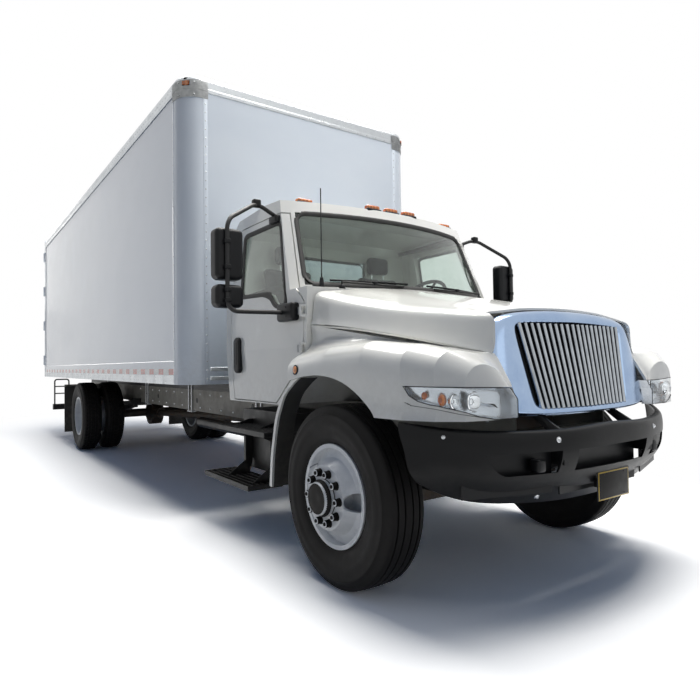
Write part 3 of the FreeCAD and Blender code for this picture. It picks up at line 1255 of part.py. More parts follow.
def make_bumper():
    # a swept-back band with a rolled lip, leaning in at its foot
    sections = []
    stations = [(step, -1) for step in reversed(range(1, len(bumper_across_shares)))]
    stations += [(step, 1) for step in range(len(bumper_across_shares))]
    for step, sign in stations:
        outer = bumper_section(step, sign, 0)
        inner = bumper_section(step, sign, size("bumper_wall"))
        ends = [Part.makeLine(outer.Vertexes[end].Point, inner.Vertexes[end].Point)
                for end in (0, -1)]
        sections.append(Part.Wire([outer, ends[1], inner, ends[0]]))
    band = Part.makeLoft(sections, True, False)
    # the ends are cut to a slant
    rows = (("bumper_end_y", "bumper_end_up + overrun"), ("bumper_end_y", "bumper_end_up"),
            ("bumper_cut_y", "bumper_end_low"), ("bumper_cut_y", "bumper_low - overrun"),
            ("0", "bumper_low - overrun"), ("0", "bumper_end_up + overrun"))
    corners = [FreeCAD.Vector(-size("bumper_half + overrun"), size(along), size(up))
               for along, up in rows]
    behind = Part.Face(Part.makePolygon(corners + corners[:1]))
    band = band.cut(behind.extrude(FreeCAD.Vector(size("2 * (bumper_half + overrun)"), 0, 0)))
    # two lamp slots with a bowed lower edge, and one slot in the middle
    start = size("bumper_front_y - overrun")
    deep = FreeCAD.Vector(0, size("bumper_end_y - bumper_front_y"), 0)
    for sign in (1, -1):
        rows = [("slot_outer", "slot_high"), ("slot_outer - bumper_wall", "slot_high - lip_round"),
                ("slot_outer - slot_bow", "slot_low + slot_bow / 4"),
                ("slot_outer - 2 * slot_bow", "slot_low")]
        bow = Part.BSplineCurve()
        bow.interpolate([FreeCAD.Vector(sign * size(x), start, size(z)) for x, z in rows])
        corners = [FreeCAD.Vector(sign * size(x), start, size(z)) for x, z in (
            rows[-1], ("slot_inner", "slot_low"), ("slot_inner", "slot_high"), rows[0])]
        edges = [bow.toShape()]
        edges += [Part.makeLine(one, two) for one, two in zip(corners, corners[1:])]
        slot = Part.Face(Part.Wire(Part.sortEdges(edges)[0]))
        band = band.cut(slot.extrude(deep))
    middle = Part.makeBox(size("2 * mid_slot_half"), deep.y, size("slot_high - slot_low"))
    middle.translate(FreeCAD.Vector(-size("mid_slot_half"), start, size("slot_low")))
    band = band.cut(middle)
    # brackets back to the ends of the frame rails, each with a bored lug for the hood's pin
    for x in ("rail_outer - bracket_thick", "-rail_outer"):
        arm = Part.makeBox(size("bracket_thick"), size("-frame_front - seating - bracket_start_y"),
                           size("bracket_high"))
        arm.translate(FreeCAD.Vector(size(x), size("bracket_start_y"), size("bracket_low")))
        lug = Part.makeBox(size("bracket_thick"), size("4 * hood_pin"),
                           size("hood_pivot_up + 2 * hood_pin - bracket_low"))
        lug.translate(FreeCAD.Vector(size(x), size("hood_pivot_y - 2 * hood_pin"),
                                     size("bracket_low")))
        pivot = FreeCAD.Vector(size(x), size("hood_pivot_y"), size("hood_pivot_up"))
        bore = Part.makeCylinder(size("hood_pin + pin_clearance / 2"), size("bracket_thick"), pivot,
                                 across_axis)
        band = band.fuse([arm, lug]).cut(bore)
    node("front_bumper", feature("Bumper", band))


def make_tanks():
    # fuel tank under the driver's side, held to the rail by a bracket
    inner = "rail_outer + box_clear"
    tank = panel("Tank", "XZ", "side_box_start", "side_box_long", [
        (inner, "side_box_low"), (inner + " + side_box_wide", "side_box_low"),
        (inner + " + side_box_wide", "side_box_low + side_box_high"),
        (inner, "side_box_low + side_box_high")])
    rounded(tank, "tank_round", lambda edge: runs_along(edge, along_axis))
    foot = block("TankFoot", "box_clear + tank_round", "side_box_long / 2", "rail_depth / 3",
                 "rail_outer", "side_box_start + side_box_long / 4", "rail_bottom")
    node("fuel_tank", fused("FuelTank", tank, foot))
    # exhaust box on the other side, with its outlet pipe under the frame
    box = block("Muffler", "side_box_wide", "side_box_long", "side_box_high",
                "-rail_outer - box_clear - side_box_wide", "side_box_start", "side_box_low")
    foot = block("MufflerFoot", "box_clear", "side_box_long / 2", "rail_depth / 3",
                 "-rail_outer - box_clear", "side_box_start + side_box_long / 4", "rail_bottom")
    outlet = rod("Outlet", "pipe_radius", "pipe_long", "y",
                 "-rail_outer - box_clear - side_box_wide / 2",
                 "side_box_start + side_box_long - overrun", "side_box_low + side_box_high / 2")
    node("exhaust", fused("Exhaust", box, foot, outlet))


def make_steps():
    # two treads on hangers that reach out from the rail
    treads = [block("LowerStep", "lower_step_deep", "lower_step_long", "step_thick",
                    "step_outer - lower_step_deep", "lower_step_y", "lower_step_z"),
              block("UpperStep", "upper_step_deep", "upper_step_long", "step_thick",
                    "step_outer - overrun / 2 - upper_step_deep", "upper_step_y", "upper_step_z")]
    for step, y in enumerate(("hanger_first", "hanger_second")):
        face = "rail_outer + box_clear + side_box_wide + seating"
        treads.append(panel("StepHanger%d" % step, "XZ", y, "step_hanger", [
            (face, "side_box_low + tank_round"), (face, "upper_step_z + hanger_bar"),
            (face + " + hanger_bar / 2", "upper_step_z + hanger_bar"),
            ("step_outer - 2 * overrun", "upper_step_z + step_thick / 2"),
            ("step_outer - 2 * overrun", "upper_step_z"),
            (face + " + hanger_bar", "upper_step_z - hanger_bar"),
            (face + " + hanger_bar", "lower_step_z + 2 * hanger_bar"),
            ("step_outer - 2 * overrun", "lower_step_z + step_thick"),
            ("step_outer - 2 * overrun", "lower_step_z + step_thick / 2"),
            (face + " + hanger_bar / 2", "lower_step_z + step_thick / 2")]))
    pair("cab_steps", fused("Steps", *treads))


def make_guard():
    # underride guard below the rear sill, on posts from the frame
    bar = block("GuardBar", "2 * guard_half", "guard_thick", "guard_high", "-guard_half",
                "box_end - guard_y_back - guard_thick", "guard_low")
    posts = []
    for side, x in (("Left", "guard_post_x - guard_post_wide"), ("Right", "-guard_post_x")):
        posts.append(block("GuardPost" + side, "guard_post_wide", "guard_thick",
                           "rail_top - guard_low", x,
                           "box_end - guard_y_back - guard_thick", "guard_low"))
        posts.append(block("GuardArm" + side, "guard_post_wide",
                           "frame_tail - guard_y_back - guard_thick", "rail_depth", x,
                           "box_end - frame_tail", "rail_bottom"))
    node("rear_guard", fused("RearGuard", bar, *posts))
    flap = block("Flap", "flap_wide", "flap_thick", "rail_top - flap_low", "flap_x - flap_wide / 2",
                 "wheelbase + flap_back", "flap_low")
    pair("mudflaps", flap)


def make_lamps():
    # roof markers, front corner markers and tail lamps
    lamps = []
    for step, (x, y) in enumerate((("0", "marker_mid_y"), ("marker_mid_x", "marker_mid_y"),
                                   ("-marker_mid_x", "marker_mid_y"),
                                   ("marker_out_x", "marker_out_y"),
                                   ("-marker_out_x", "marker_out_y"))):
        lamps.append(cut("MarkerSeated%d" % step, block(
            "Marker%d" % step, "marker_long", "marker_deep", "marker_high",
            x + " - marker_long / 2", y, "brow_up - seating"), doc.getObject("CabOuter")))
    corner = corner_marker()
    lamps += [corner, mirrored("OtherCornerMarker", corner)]
    for side, sign in (("Left", ""), ("Right", "-")):
        for step in range(int(size("tail_count"))):
            lamps.append(rod("Tail%s%d" % (side, step), "tail_radius", "tail_out", "y",
                             "%s(tail_x - %d * tail_pitch)" % (sign, step), "box_end", "tail_up"))
    node("lamps", grouped("Lamps", *lamps))


def corner_marker():
    # a marker lamp that sits square on the middle of the round corner post
    lamp = doc.addObject("Part::Box", "CornerMarker")
    bind(lamp, Length="corner_marker_wide", Width="2 * corner_marker_out",
         Height="corner_marker_high")
    turn(lamp, up_axis, 45)
    in_line = "(corner_radius + corner_marker_out) * cos(45) "
    place(lamp, "box_half - corner_radius + " + in_line + "- corner_marker_wide / 2 * cos(45)",
          "box_start + corner_radius - " + in_line + "- corner_marker_wide / 2 * cos(45)",
          "box_top - corner_marker_drop")
    post = rod("CornerRound", "corner_radius", "corner_marker_high + 2 * overrun", "z",
               "box_half - corner_radius", "box_start + corner_radius",
               "box_top - corner_marker_drop - overrun")
    return cut("CornerMarkerSeated", lamp, post)


def make_wipers():
    # each wiper is a post on the cowl and an arm that lies before the glass
    wipers = []
    for name, sign in (("WiperLeft", 1), ("WiperRight", -1)):
        start = FreeCAD.Vector(sign * size("wiper_foot_x"), size("wiper_foot_y"), size("wiper_up"))
        end = FreeCAD.Vector(sign * size("wiper_tip_x"), size("wiper_tip_y"), size("wiper_up"))
        arm = Part.makeCylinder(size("wiper_arm"), (end - start).Length, start, end - start)
        foot = start - FreeCAD.Vector(0, 0, size("wiper_up - cowl_up"))
        post = Part.makeCylinder(size("wiper_arm"), size("wiper_up - cowl_up"), foot, up_axis)
        wipers.append(feature(name, arm.fuse(post)))
    mast = rod("Mast", "aerial_radius", "aerial_high", "z", "-aerial_x", "aerial_y", "cowl_up")
    foot = rod("MastFoot", "aerial_foot", "aerial_foot_high", "z", "-aerial_x", "aerial_y",
               "cowl_up")
    node("wipers_and_aerial", grouped("WipersAndAerial", fused("Aerial", mast, foot), *wipers))


if __name__ == "__main__":
    make_frame()
    make_front_axle()
    make_knuckles()
    make_front_wheels()
    make_rear_wheels()
    make_rear_axle()
    make_springs()
    make_driveline()
    make_box_floor()
    make_box_sides()
    make_box_front()
    make_box_roof()
    make_rear_frame()
    make_rear_doors()
    make_cab()
    make_mirrors()
    make_cab_inside()
    make_hood()
    make_fenders()
    make_grille()
    make_bumper()
    make_tanks()
    make_steps()
    make_guard()
    make_lamps()
    make_wipers()
    doc.recompute()
    # nothing is written unless every object and every piece is sound
    for item in doc.Objects:
        if "Invalid" in item.State or "Error" in item.State:
            raise RuntimeError("failed: " + item.Name)
    for item in nodes:
        if item.Shape.isNull() or not item.Shape.isValid():
            raise RuntimeError("bad shape: " + item.Label)
    for item in nodes:
        item.Shape.exportStep("parts/%s.step" % item.Label)
        box = item.Shape.BoundBox
        print("%-20s %2d solids" % (item.Label, len(item.Shape.Solids)),
              "x %.0f..%.0f" % (box.XMin, box.XMax), "y %.0f..%.0f" % (box.YMin, box.YMax),
              "z %.0f..%.0f" % (box.ZMin, box.ZMax))
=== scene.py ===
# Box truck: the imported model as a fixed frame, dressed with finishes and fine pieces.
# Lengths are in metres, +Z is up, +Y points to the truck's rear, +X to the driver's side.
import json
import math

import bmesh
import bpy
from mathutils import Matrix, Vector
from mathutils.bvhtree import BVHTree

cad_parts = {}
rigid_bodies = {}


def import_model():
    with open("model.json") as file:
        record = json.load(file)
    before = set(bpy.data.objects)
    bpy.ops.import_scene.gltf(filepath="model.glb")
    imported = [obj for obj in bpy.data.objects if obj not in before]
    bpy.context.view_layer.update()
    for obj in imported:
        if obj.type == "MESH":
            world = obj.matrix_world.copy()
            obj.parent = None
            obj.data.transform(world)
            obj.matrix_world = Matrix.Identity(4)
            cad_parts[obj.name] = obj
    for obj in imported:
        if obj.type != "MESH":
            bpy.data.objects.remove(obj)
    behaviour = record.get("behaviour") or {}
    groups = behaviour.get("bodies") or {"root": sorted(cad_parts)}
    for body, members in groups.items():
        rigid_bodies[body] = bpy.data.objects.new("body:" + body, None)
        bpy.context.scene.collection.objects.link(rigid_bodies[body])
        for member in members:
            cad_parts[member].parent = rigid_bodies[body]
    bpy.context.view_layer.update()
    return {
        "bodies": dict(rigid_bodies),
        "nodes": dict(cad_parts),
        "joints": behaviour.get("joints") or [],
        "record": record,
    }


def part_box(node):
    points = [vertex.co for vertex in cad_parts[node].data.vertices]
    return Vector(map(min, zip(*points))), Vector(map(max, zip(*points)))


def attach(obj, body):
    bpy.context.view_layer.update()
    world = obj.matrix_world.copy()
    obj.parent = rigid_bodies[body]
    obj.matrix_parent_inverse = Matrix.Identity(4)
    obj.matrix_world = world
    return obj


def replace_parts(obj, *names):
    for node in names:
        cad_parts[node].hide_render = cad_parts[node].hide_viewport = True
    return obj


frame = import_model()
scene = bpy.context.scene

tyreLow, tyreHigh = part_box("front_tyre_right")
axleY = (tyreLow.y + tyreHigh.y) / 2
rearLow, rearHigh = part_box("rear_tyres_right")
rearAxleY = (rearLow.y + rearHigh.y) / 2
acrossAxis = Vector((1, 0, 0))
alongAxis = Vector((0, 1, 0))
upAxis = Vector((0, 0, 1))
sides = ((1, "left"), (-1, "right"))


def spot(x, y, z):
    # a place with y counted from the front axle
    return Vector((x, axleY + y, z))


# Camera: where the photograph was taken from, on a 36 mm sensor
view = {"x": -2.966, "y": -2.6936, "z": 1.280, "yaw": 0.60747, "pitch": 0.026584,
        "roll": -0.01365, "lens": 29.03, "shiftX": 0.0213, "shiftY": -0.0004}


def makeCamera():
    ahead = Vector((math.sin(view["yaw"]) * math.cos(view["pitch"]),
                    math.cos(view["yaw"]) * math.cos(view["pitch"]), math.sin(view["pitch"])))
    side = Vector((math.cos(view["yaw"]), -math.sin(view["yaw"]), 0))
    over = side.cross(ahead)
    right = side * math.cos(view["roll"]) + over * math.sin(view["roll"])
    up = over * math.cos(view["roll"]) - side * math.sin(view["roll"])
    lens = bpy.data.cameras.new("camera")
    lens.lens = view["lens"]
    lens.sensor_width = 36
    lens.shift_x = view["shiftX"]
    lens.shift_y = view["shiftY"]
    lens.clip_end = 200
    camera = bpy.data.objects.new("camera", lens)
    turn = Matrix((right, up, -ahead)).transposed()
    camera.matrix_world = Matrix.Translation(spot(view["x"], view["y"], view["z"])) @ turn.to_4x4()
    scene.collection.objects.link(camera)
    scene.camera = camera


# Node building for the finishes
def colour(code):
    # the linear colour of an sRGB hex code
    shares = [int(code[at:at + 2], 16) / 255 for at in (1, 3, 5)]
    linear = [c / 12.92 if c <= 0.04045 else ((c + 0.055) / 1.055) ** 2.4 for c in shares]
    return (*linear, 1)


def addNode(tree, kind, sockets=(), **settings):
    # adds one node with its settings, input values and links, and gives its outputs
    node = tree.nodes.new("ShaderNode" + kind)
    for name, value in settings.items():
        setattr(node, name, value)
    for key, value in dict(sockets).items():
        if isinstance(value, bpy.types.NodeSocket):
            tree.links.new(value, node.inputs[key])
        else:
            node.inputs[key].default_value = value
    return node.outputs


def openTree(name):
    finish = bpy.data.materials.new(name)
    finish.use_nodes = True
    tree = finish.node_tree
    tree.nodes.clear()
    return finish, tree


def makeFinish(name, look):
    # A coat with patches of a second colour, dust low down, a grain and a varied gloss.
    # Sizes in the look are millimetres: patch, grain, depth, dustTop and dustBase.
    finish, tree = openTree(name)
    place = addNode(tree, "TexCoord")["Object"]
    fields = []
    for size, stretch, detail, rough in ((look["patch"], look.get("streak"), 4, 0.6),
                                         (look["grain"], look.get("run"), look.get("detail", 2),
                                          0.55)):
        drawn = place
        if stretch:
            drawn = addNode(tree, "Mapping", {
                "Vector": place, "Scale": [1 / share for share in stretch]})[0]
        fields.append(addNode(tree, "TexNoise", {"Vector": drawn, "Scale": 1000 / size,
                      "Detail": detail, "Roughness": rough})["Fac"])
    patch, grain = fields
    share = addNode(tree, "MapRange", {0: patch, 1: 0.35, 2: 0.7})[0]
    tone = addNode(tree, "Mix", {0: share, 6: colour(look["base"]), 7: colour(look["other"])},
                   data_type="RGBA")[2]
    parts = [addNode(tree, "Math", {0: field, 1: weight}, operation="MULTIPLY")[0]
             for field, weight in ((patch, 0.7), (grain, 0.3))]
    both = addNode(tree, "Math", {0: parts[0], 1: parts[1]}, operation="ADD")[0]
    roughness = addNode(tree, "MapRange", {
        0: both, 1: 0.3, 2: 0.7, 3: max(look["rough"] - look["vary"], 0.02),
        4: min(look["rough"] + look["vary"], 1)})[0]
    if "dust" in look:
        height = addNode(tree, "SeparateXYZ", {0: place})["Z"]
        fade = addNode(tree, "MapRange", {0: height, 1: look["dustBase"] / 1000,
                       2: look["dustTop"] / 1000, 3: 1, 4: 0})[0]
        cloud = addNode(tree, "TexNoise", {"Vector": place, "Scale": 20, "Detail": 6,
                        "Roughness": 0.7})["Fac"]
        cloud = addNode(tree, "MapRange", {0: cloud, 1: 0.35, 2: 0.75})[0]
        amount = addNode(tree, "Math", {0: fade, 1: cloud}, operation="MULTIPLY")[0]
        amount = addNode(tree, "Math", {0: amount, 1: look["dustShare"]},
                         operation="MULTIPLY")[0]
        tone = addNode(tree, "Mix", {0: amount, 6: tone, 7: colour(look["dust"])},
                       data_type="RGBA")[2]
        matt = addNode(tree, "Math", {0: amount, 1: 0.9}, operation="MULTIPLY")[0]
        roughness = addNode(tree, "Math", {0: roughness, 1: matt}, operation="MAXIMUM")[0]
    bump = addNode(tree, "Bump", {"Height": grain, "Distance": look["depth"] / 1000})[0]
    shader = addNode(tree, "BsdfPrincipled", {
        "Base Color": tone, "Roughness": roughness, "Normal": bump,
        "Metallic": look.get("metal", 0.0), "Coat Weight": look.get("coat", 0.0),
        "Coat Roughness": look.get("coatRough", 0.05),
        "Specular IOR Level": look.get("specular", 0.5)})
    addNode(tree, "OutputMaterial", {"Surface": shader[0]})
    return finish


# Painted metal
paintLooks = {
    "glossWhiteCabPaint": {
        # clear-coated warm white, orange peel of about 1.5 mm, road dust towards the sill
        "base": "#f3f2ec", "other": "#ecece8", "patch": 700, "rough": 0.24, "vary": 0.05,
        "grain": 1.6, "depth": 0.008, "coat": 0.7, "coatRough": 0.04, "dust": "#b9b0a2",
        "dustBase": 950, "dustTop": 1350, "dustShare": 0.3},
    "glossWhiteBodySheet": {
        # pre-painted white sheet, drawn flat, with very slow waves along the wall; its cool
        # blue-grey tint is painted shade, the sky's blue on the shaded walls
        "base": "#dde5ee", "other": "#d6dfea", "patch": 1400, "streak": (1, 1, 0.5), "rough": 0.2,
        "vary": 0.06, "grain": 420, "depth": 0.5, "detail": 1, "coat": 0.5, "coatRough": 0.06,
        "dust": "#aaa79f", "dustBase": 1123, "dustTop": 1500, "dustShare": 0.35},
    "whiteWheelPaint": {
        # thick gloss white on pressed steel, brake and road dust all over
        "base": "#f4f5f6", "other": "#e6e8ea", "patch": 60, "rough": 0.34, "vary": 0.1,
        "grain": 2.2, "depth": 0.03, "coat": 0.25, "dust": "#8d857a", "dustBase": 240,
        "dustTop": 900, "dustShare": 0.15},
    "greasyBlackHub": {
        # cast iron under a film of grease and brake dust
        "base": "#0b0a0a", "other": "#14110f", "patch": 30, "rough": 0.55, "vary": 0.1,
        "specular": 0.12, "grain": 1.5, "depth": 0.04},
    "greyChassisPaint": {
        # semi-gloss warm grey over rolled steel, dulled by road film
        "base": "#8d8b82", "other": "#7b7972", "patch": 120, "rough": 0.45, "vary": 0.12,
        "grain": 3, "depth": 0.06, "dust": "#7d766b", "dustBase": 700, "dustTop": 1050,
        "dustShare": 0.45},
    "satinBlackSteel": {
        # powder-coated black steel with a fine texture and dust in the hollows
        "base": "#101112", "other": "#17181a", "patch": 90, "rough": 0.44, "vary": 0.1,
        "specular": 0.35, "grain": 1.2, "depth": 0.04, "dust": "#6e685e", "dustBase": 200,
        "dustTop": 900, "dustShare": 0.14},
    "darkGreySatinBumper": {
        # dark grey satin paint on pressed steel, slightly dusty on the lower face
        "base": "#101113", "other": "#0d0e10", "patch": 300, "rough": 0.38, "vary": 0.07,
        "specular": 0.14, "grain": 1.4, "depth": 0.012, "coat": 0.05, "coatRough": 0.2,
        "dust": "#7b756c", "dustBase": 500, "dustTop": 820, "dustShare": 0.1}}

# Bare and plated metal
metalLooks = {
    "satinExtrudedAluminium": {
        # extruded rail with die lines along the truck and a little white oxide
        "base": "#c3c7ca", "other": "#b2b6ba", "patch": 90, "rough": 0.32, "vary": 0.1, "metal": 1,
        "grain": 1.2, "run": (1, 60, 1), "depth": 0.02},
    "castAluminium": {
        # sand-cast corner cap, fine pebbled skin
        "base": "#b8babb", "other": "#9fa2a4", "patch": 40, "rough": 0.42, "vary": 0.1, "metal": 1,
        "grain": 1.5, "depth": 0.12},
    "brightChrome": {
        # plated, nearly mirror, with faint water marks
        "base": "#e2e4e6", "other": "#d4d7da", "patch": 60, "rough": 0.08, "vary": 0.04,
        "metal": 1, "grain": 30, "depth": 0.015},
    "darkChromeSlats": {
        # plated slats that stand in the dark of the grille, their base darker than the bright
        # chrome as painted shade
        "base": "#a4a9ae", "other": "#93989d", "patch": 60, "rough": 0.12, "vary": 0.04,
        "metal": 1, "grain": 30, "depth": 0.01},
    "satinSilverSurround": {
        # satin plated plastic; its clear blue tone is a painted reflection of the sky
        "base": "#9db1cc", "other": "#8fa5c4", "patch": 180, "rough": 0.2, "vary": 0.05,
        "metal": 1, "grain": 1.2, "depth": 0.006},
    "satinSilverReflector": {
        # vacuum-metallised plastic behind a lamp lens
        "base": "#c4c9cf", "other": "#b6bcc3", "patch": 60, "rough": 0.2, "vary": 0.05,
        "metal": 1, "grain": 1.2, "depth": 0.006},
    "brushedAluminiumTank": {
        # rolled sheet, brushed round the tank
        "base": "#bfc2c4", "other": "#adb1b4", "patch": 150, "rough": 0.27, "vary": 0.08,
        "metal": 1, "grain": 0.9, "run": (1, 50, 1), "depth": 0.015, "dust": "#8a8378",
        "dustBase": 400, "dustTop": 900, "dustShare": 0.3},
    "zincPlatedSteel": {
        # bright zinc on bolts, rivets and lock rods
        "base": "#b9bcc0", "other": "#9da0a3", "patch": 15, "rough": 0.3, "vary": 0.12, "metal": 1,
        "grain": 1, "depth": 0.02},
    "roughCastIron": {
        # sand-cast skin with oil film and rust in places
        "base": "#34332f", "other": "#4a3c30", "patch": 70, "rough": 0.6, "vary": 0.15,
        "metal": 0.3, "grain": 3, "depth": 0.35, "detail": 5, "dust": "#6d6458", "dustBase": 200,
        "dustTop": 1000, "dustShare": 0.5}}

# Plastics, rubber and board
softLooks = {
    "grainedDarkGreyPlastic": {
        # moulded dashboard and trim, leather grain of 1.5 mm
        "base": "#2b2c2f", "other": "#323337", "patch": 200, "rough": 0.58, "vary": 0.06,
        "grain": 1.5, "depth": 0.12, "detail": 4},
    "satinBlackPlastic": {
        # mirror housings, handles, wiper arms and lamp bezels
        "base": "#0e0f12", "other": "#131518", "patch": 80, "rough": 0.36, "vary": 0.06,
        "specular": 0.2, "grain": 0.8, "depth": 0.02},
    "blackSheetRubber": {
        # window seals and mudflaps, dusty, with a fine calendered grain
        "base": "#1b1b1c", "other": "#252524", "patch": 70, "rough": 0.66, "vary": 0.1,
        "grain": 2.5, "depth": 0.15, "dust": "#6f685e", "dustBase": 170, "dustTop": 1000,
        "dustShare": 0.5},
    "roadWornTyreRubber": {
        # carbon black with a brown-grey film, heavier on the sidewall
        "base": "#0f0f10", "other": "#171616", "patch": 45, "rough": 0.62, "vary": 0.1,
        "specular": 0.14, "grain": 1.6, "depth": 0.08, "detail": 4, "dust": "#3e3a35",
        "dustBase": 0, "dustTop": 1100, "dustShare": 0.12},
    "blackBlankPlate": {
        # painted aluminium plate with nothing on it
        "base": "#131211", "other": "#1a1917", "patch": 40, "rough": 0.45, "vary": 0.08,
        "specular": 0.15, "grain": 1.2, "depth": 0.02},
    "yellowPlateEdge": {
        # the plate's painted rim
        "base": "#d9b21c", "other": "#cfa817", "patch": 40, "rough": 0.35, "vary": 0.08,
        "grain": 1.2, "depth": 0.02, "coat": 0.3}}

finishes = {}
for group in (paintLooks, metalLooks, softLooks):
    for name, look in group.items():
        finishes[name] = makeFinish(name, look)


def makeGlass(name, tint, rough, dusty):
    # clear safety glass, faintly tinted, with dust that scatters a little light
    finish, tree = openTree(name)
    place = addNode(tree, "TexCoord")["Object"]
    film = addNode(tree, "TexNoise", {"Vector": place, "Scale": 1 / 0.18, "Detail": 5,
                   "Roughness": 0.6})["Fac"]
    roughness = addNode(tree, "MapRange", {0: film, 1: 0.45, 2: 0.8, 3: rough,
                        4: rough + dusty})[0]
    share = addNode(tree, "MapRange", {0: film, 1: 0.4, 2: 0.8})[0]
    tone = addNode(tree, "Mix", {0: share, 6: colour(tint[0]), 7: colour(tint[1])},
                   data_type="RGBA")[2]
    wave = addNode(tree, "TexNoise", {"Vector": place, "Scale": 1 / 0.6, "Detail": 1,
                   "Roughness": 0.5})["Fac"]
    bump = addNode(tree, "Bump", {"Height": wave, "Distance": 0.0004})[0]
    shader = addNode(tree, "BsdfPrincipled", {
        "Base Color": tone, "Roughness": roughness, "Normal": bump, "IOR": 1.45,
        "Transmission Weight": 1.0})
    addNode(tree, "OutputMaterial", {"Surface": shader[0]})
    return finish


def makeLens(name, tint, dark, glow, pitch):
    # moulded lamp lens: ribs of the given pitch inside, deep colour, a glossy face
    finish, tree = openTree(name)
    place = addNode(tree, "TexCoord")["Object"]
    ribs = addNode(tree, "TexWave", {"Vector": place, "Scale": 1 / (pitch * 20),
                   "Distortion": 0.0}, bands_direction="X")["Fac"]
    cells = addNode(tree, "TexNoise", {"Vector": place, "Scale": 1 / 0.006, "Detail": 2,
                    "Roughness": 0.5})["Fac"]
    share = addNode(tree, "MapRange", {0: ribs, 1: 0.2, 2: 0.9})[0]
    tone = addNode(tree, "Mix", {0: share, 6: colour(dark), 7: colour(tint)},
                   data_type="RGBA")[2]
    roughness = addNode(tree, "MapRange", {0: cells, 1: 0.3, 2: 0.7, 3: 0.08, 4: 0.2})[0]
    bump = addNode(tree, "Bump", {"Height": ribs, "Distance": 0.0006})[0]
    shader = addNode(tree, "BsdfPrincipled", {
        "Base Color": tone, "Roughness": roughness, "Normal": bump,
        "Transmission Weight": glow, "IOR": 1.49, "Coat Weight": 0.8, "Coat Roughness": 0.03})
    addNode(tree, "OutputMaterial", {"Surface": shader[0]})
    return finish


def makeCloth(name, base, other):
    # woven seat cloth, 1.4 mm threads with a soft sheen and worn patches
    finish, tree = openTree(name)
    place = addNode(tree, "TexCoord")["Object"]
    threads = [addNode(tree, "TexWave", {"Vector": place, "Scale": 35.0, "Distortion": 0.6,
                       "Detail": 1.0}, bands_direction=way)["Fac"] for way in ("X", "Z")]
    weave = addNode(tree, "Math", {0: threads[0], 1: threads[1]}, operation="MULTIPLY")[0]
    worn = addNode(tree, "TexNoise", {"Vector": place, "Scale": 1 / 0.09, "Detail": 4,
                   "Roughness": 0.5})["Fac"]
    both = addNode(tree, "Math", {0: weave, 1: worn}, operation="ADD")[0]
    share = addNode(tree, "MapRange", {0: both, 1: 0.4, 2: 1.3})[0]
    tone = addNode(tree, "Mix", {0: share, 6: colour(base), 7: colour(other)},
                   data_type="RGBA")[2]
    roughness = addNode(tree, "MapRange", {0: worn, 1: 0.3, 2: 0.7, 3: 0.75, 4: 0.92})[0]
    bump = addNode(tree, "Bump", {"Height": weave, "Distance": 0.0006})[0]
    shader = addNode(tree, "BsdfPrincipled", {
        "Base Color": tone, "Roughness": roughness, "Normal": bump, "Sheen Weight": 0.3,
        "Sheen Roughness": 0.5})
    addNode(tree, "OutputMaterial", {"Surface": shader[0]})
    return finish


def makeBoards(name, sillTop):
    # laminated hardwood floor: strips 35 mm wide along the truck, sealed, scuffed by pallets,
    # on sills of black painted steel, which end at the given height
    finish, tree = openTree(name)
    place = addNode(tree, "TexCoord")["Object"]
    parts = addNode(tree, "SeparateXYZ", {0: place})
    strip = addNode(tree, "Math", {0: parts["X"], 1: 28.6}, operation="MULTIPLY")[0]
    strip = addNode(tree, "Math", {0: strip}, operation="FLOOR")[0]
    pick = addNode(tree, "TexWhiteNoise", {"W": strip}, noise_dimensions="1D")[0]
    drawn = addNode(tree, "Mapping", {"Vector": place, "Scale": (1, 1 / 25, 1)})[0]
    figure = addNode(tree, "TexNoise", {"Vector": drawn, "Scale": 1 / 0.012, "Detail": 5,
                     "Roughness": 0.6})["Fac"]
    vein = addNode(tree, "MapRange", {0: figure, 1: 0.4, 2: 0.75})[0]
    scuff = addNode(tree, "TexNoise", {"Vector": place, "Scale": 1 / 0.3, "Detail": 6,
                    "Roughness": 0.7})["Fac"]
    scuff = addNode(tree, "MapRange", {0: scuff, 1: 0.5, 2: 0.8, 3: 0, 4: 0.5})[0]
    above = addNode(tree, "Math", {0: parts["Z"], 1: sillTop}, operation="GREATER_THAN")[0]
    tone = colour("#8a6440")
    for share, under, over in ((pick, None, "#a67c52"), (vein, None, "#5f4228"),
                               (scuff, None, "#6b645b"), (above, "#232426", None)):
        tone = addNode(tree, "Mix", {0: share, 6: colour(under) if under else tone,
                       7: colour(over) if over else tone}, data_type="RGBA")[2]
    bump = addNode(tree, "Bump", {"Height": figure, "Distance": 0.0003})[0]
    roughness = addNode(tree, "MapRange", {0: figure, 1: 0.3, 2: 0.7, 3: 0.42, 4: 0.66})[0]
    shader = addNode(tree, "BsdfPrincipled", {
        "Base Color": tone, "Roughness": roughness, "Normal": bump, "Coat Weight": 0.1})
    addNode(tree, "OutputMaterial", {"Surface": shader[0]})
    return finish


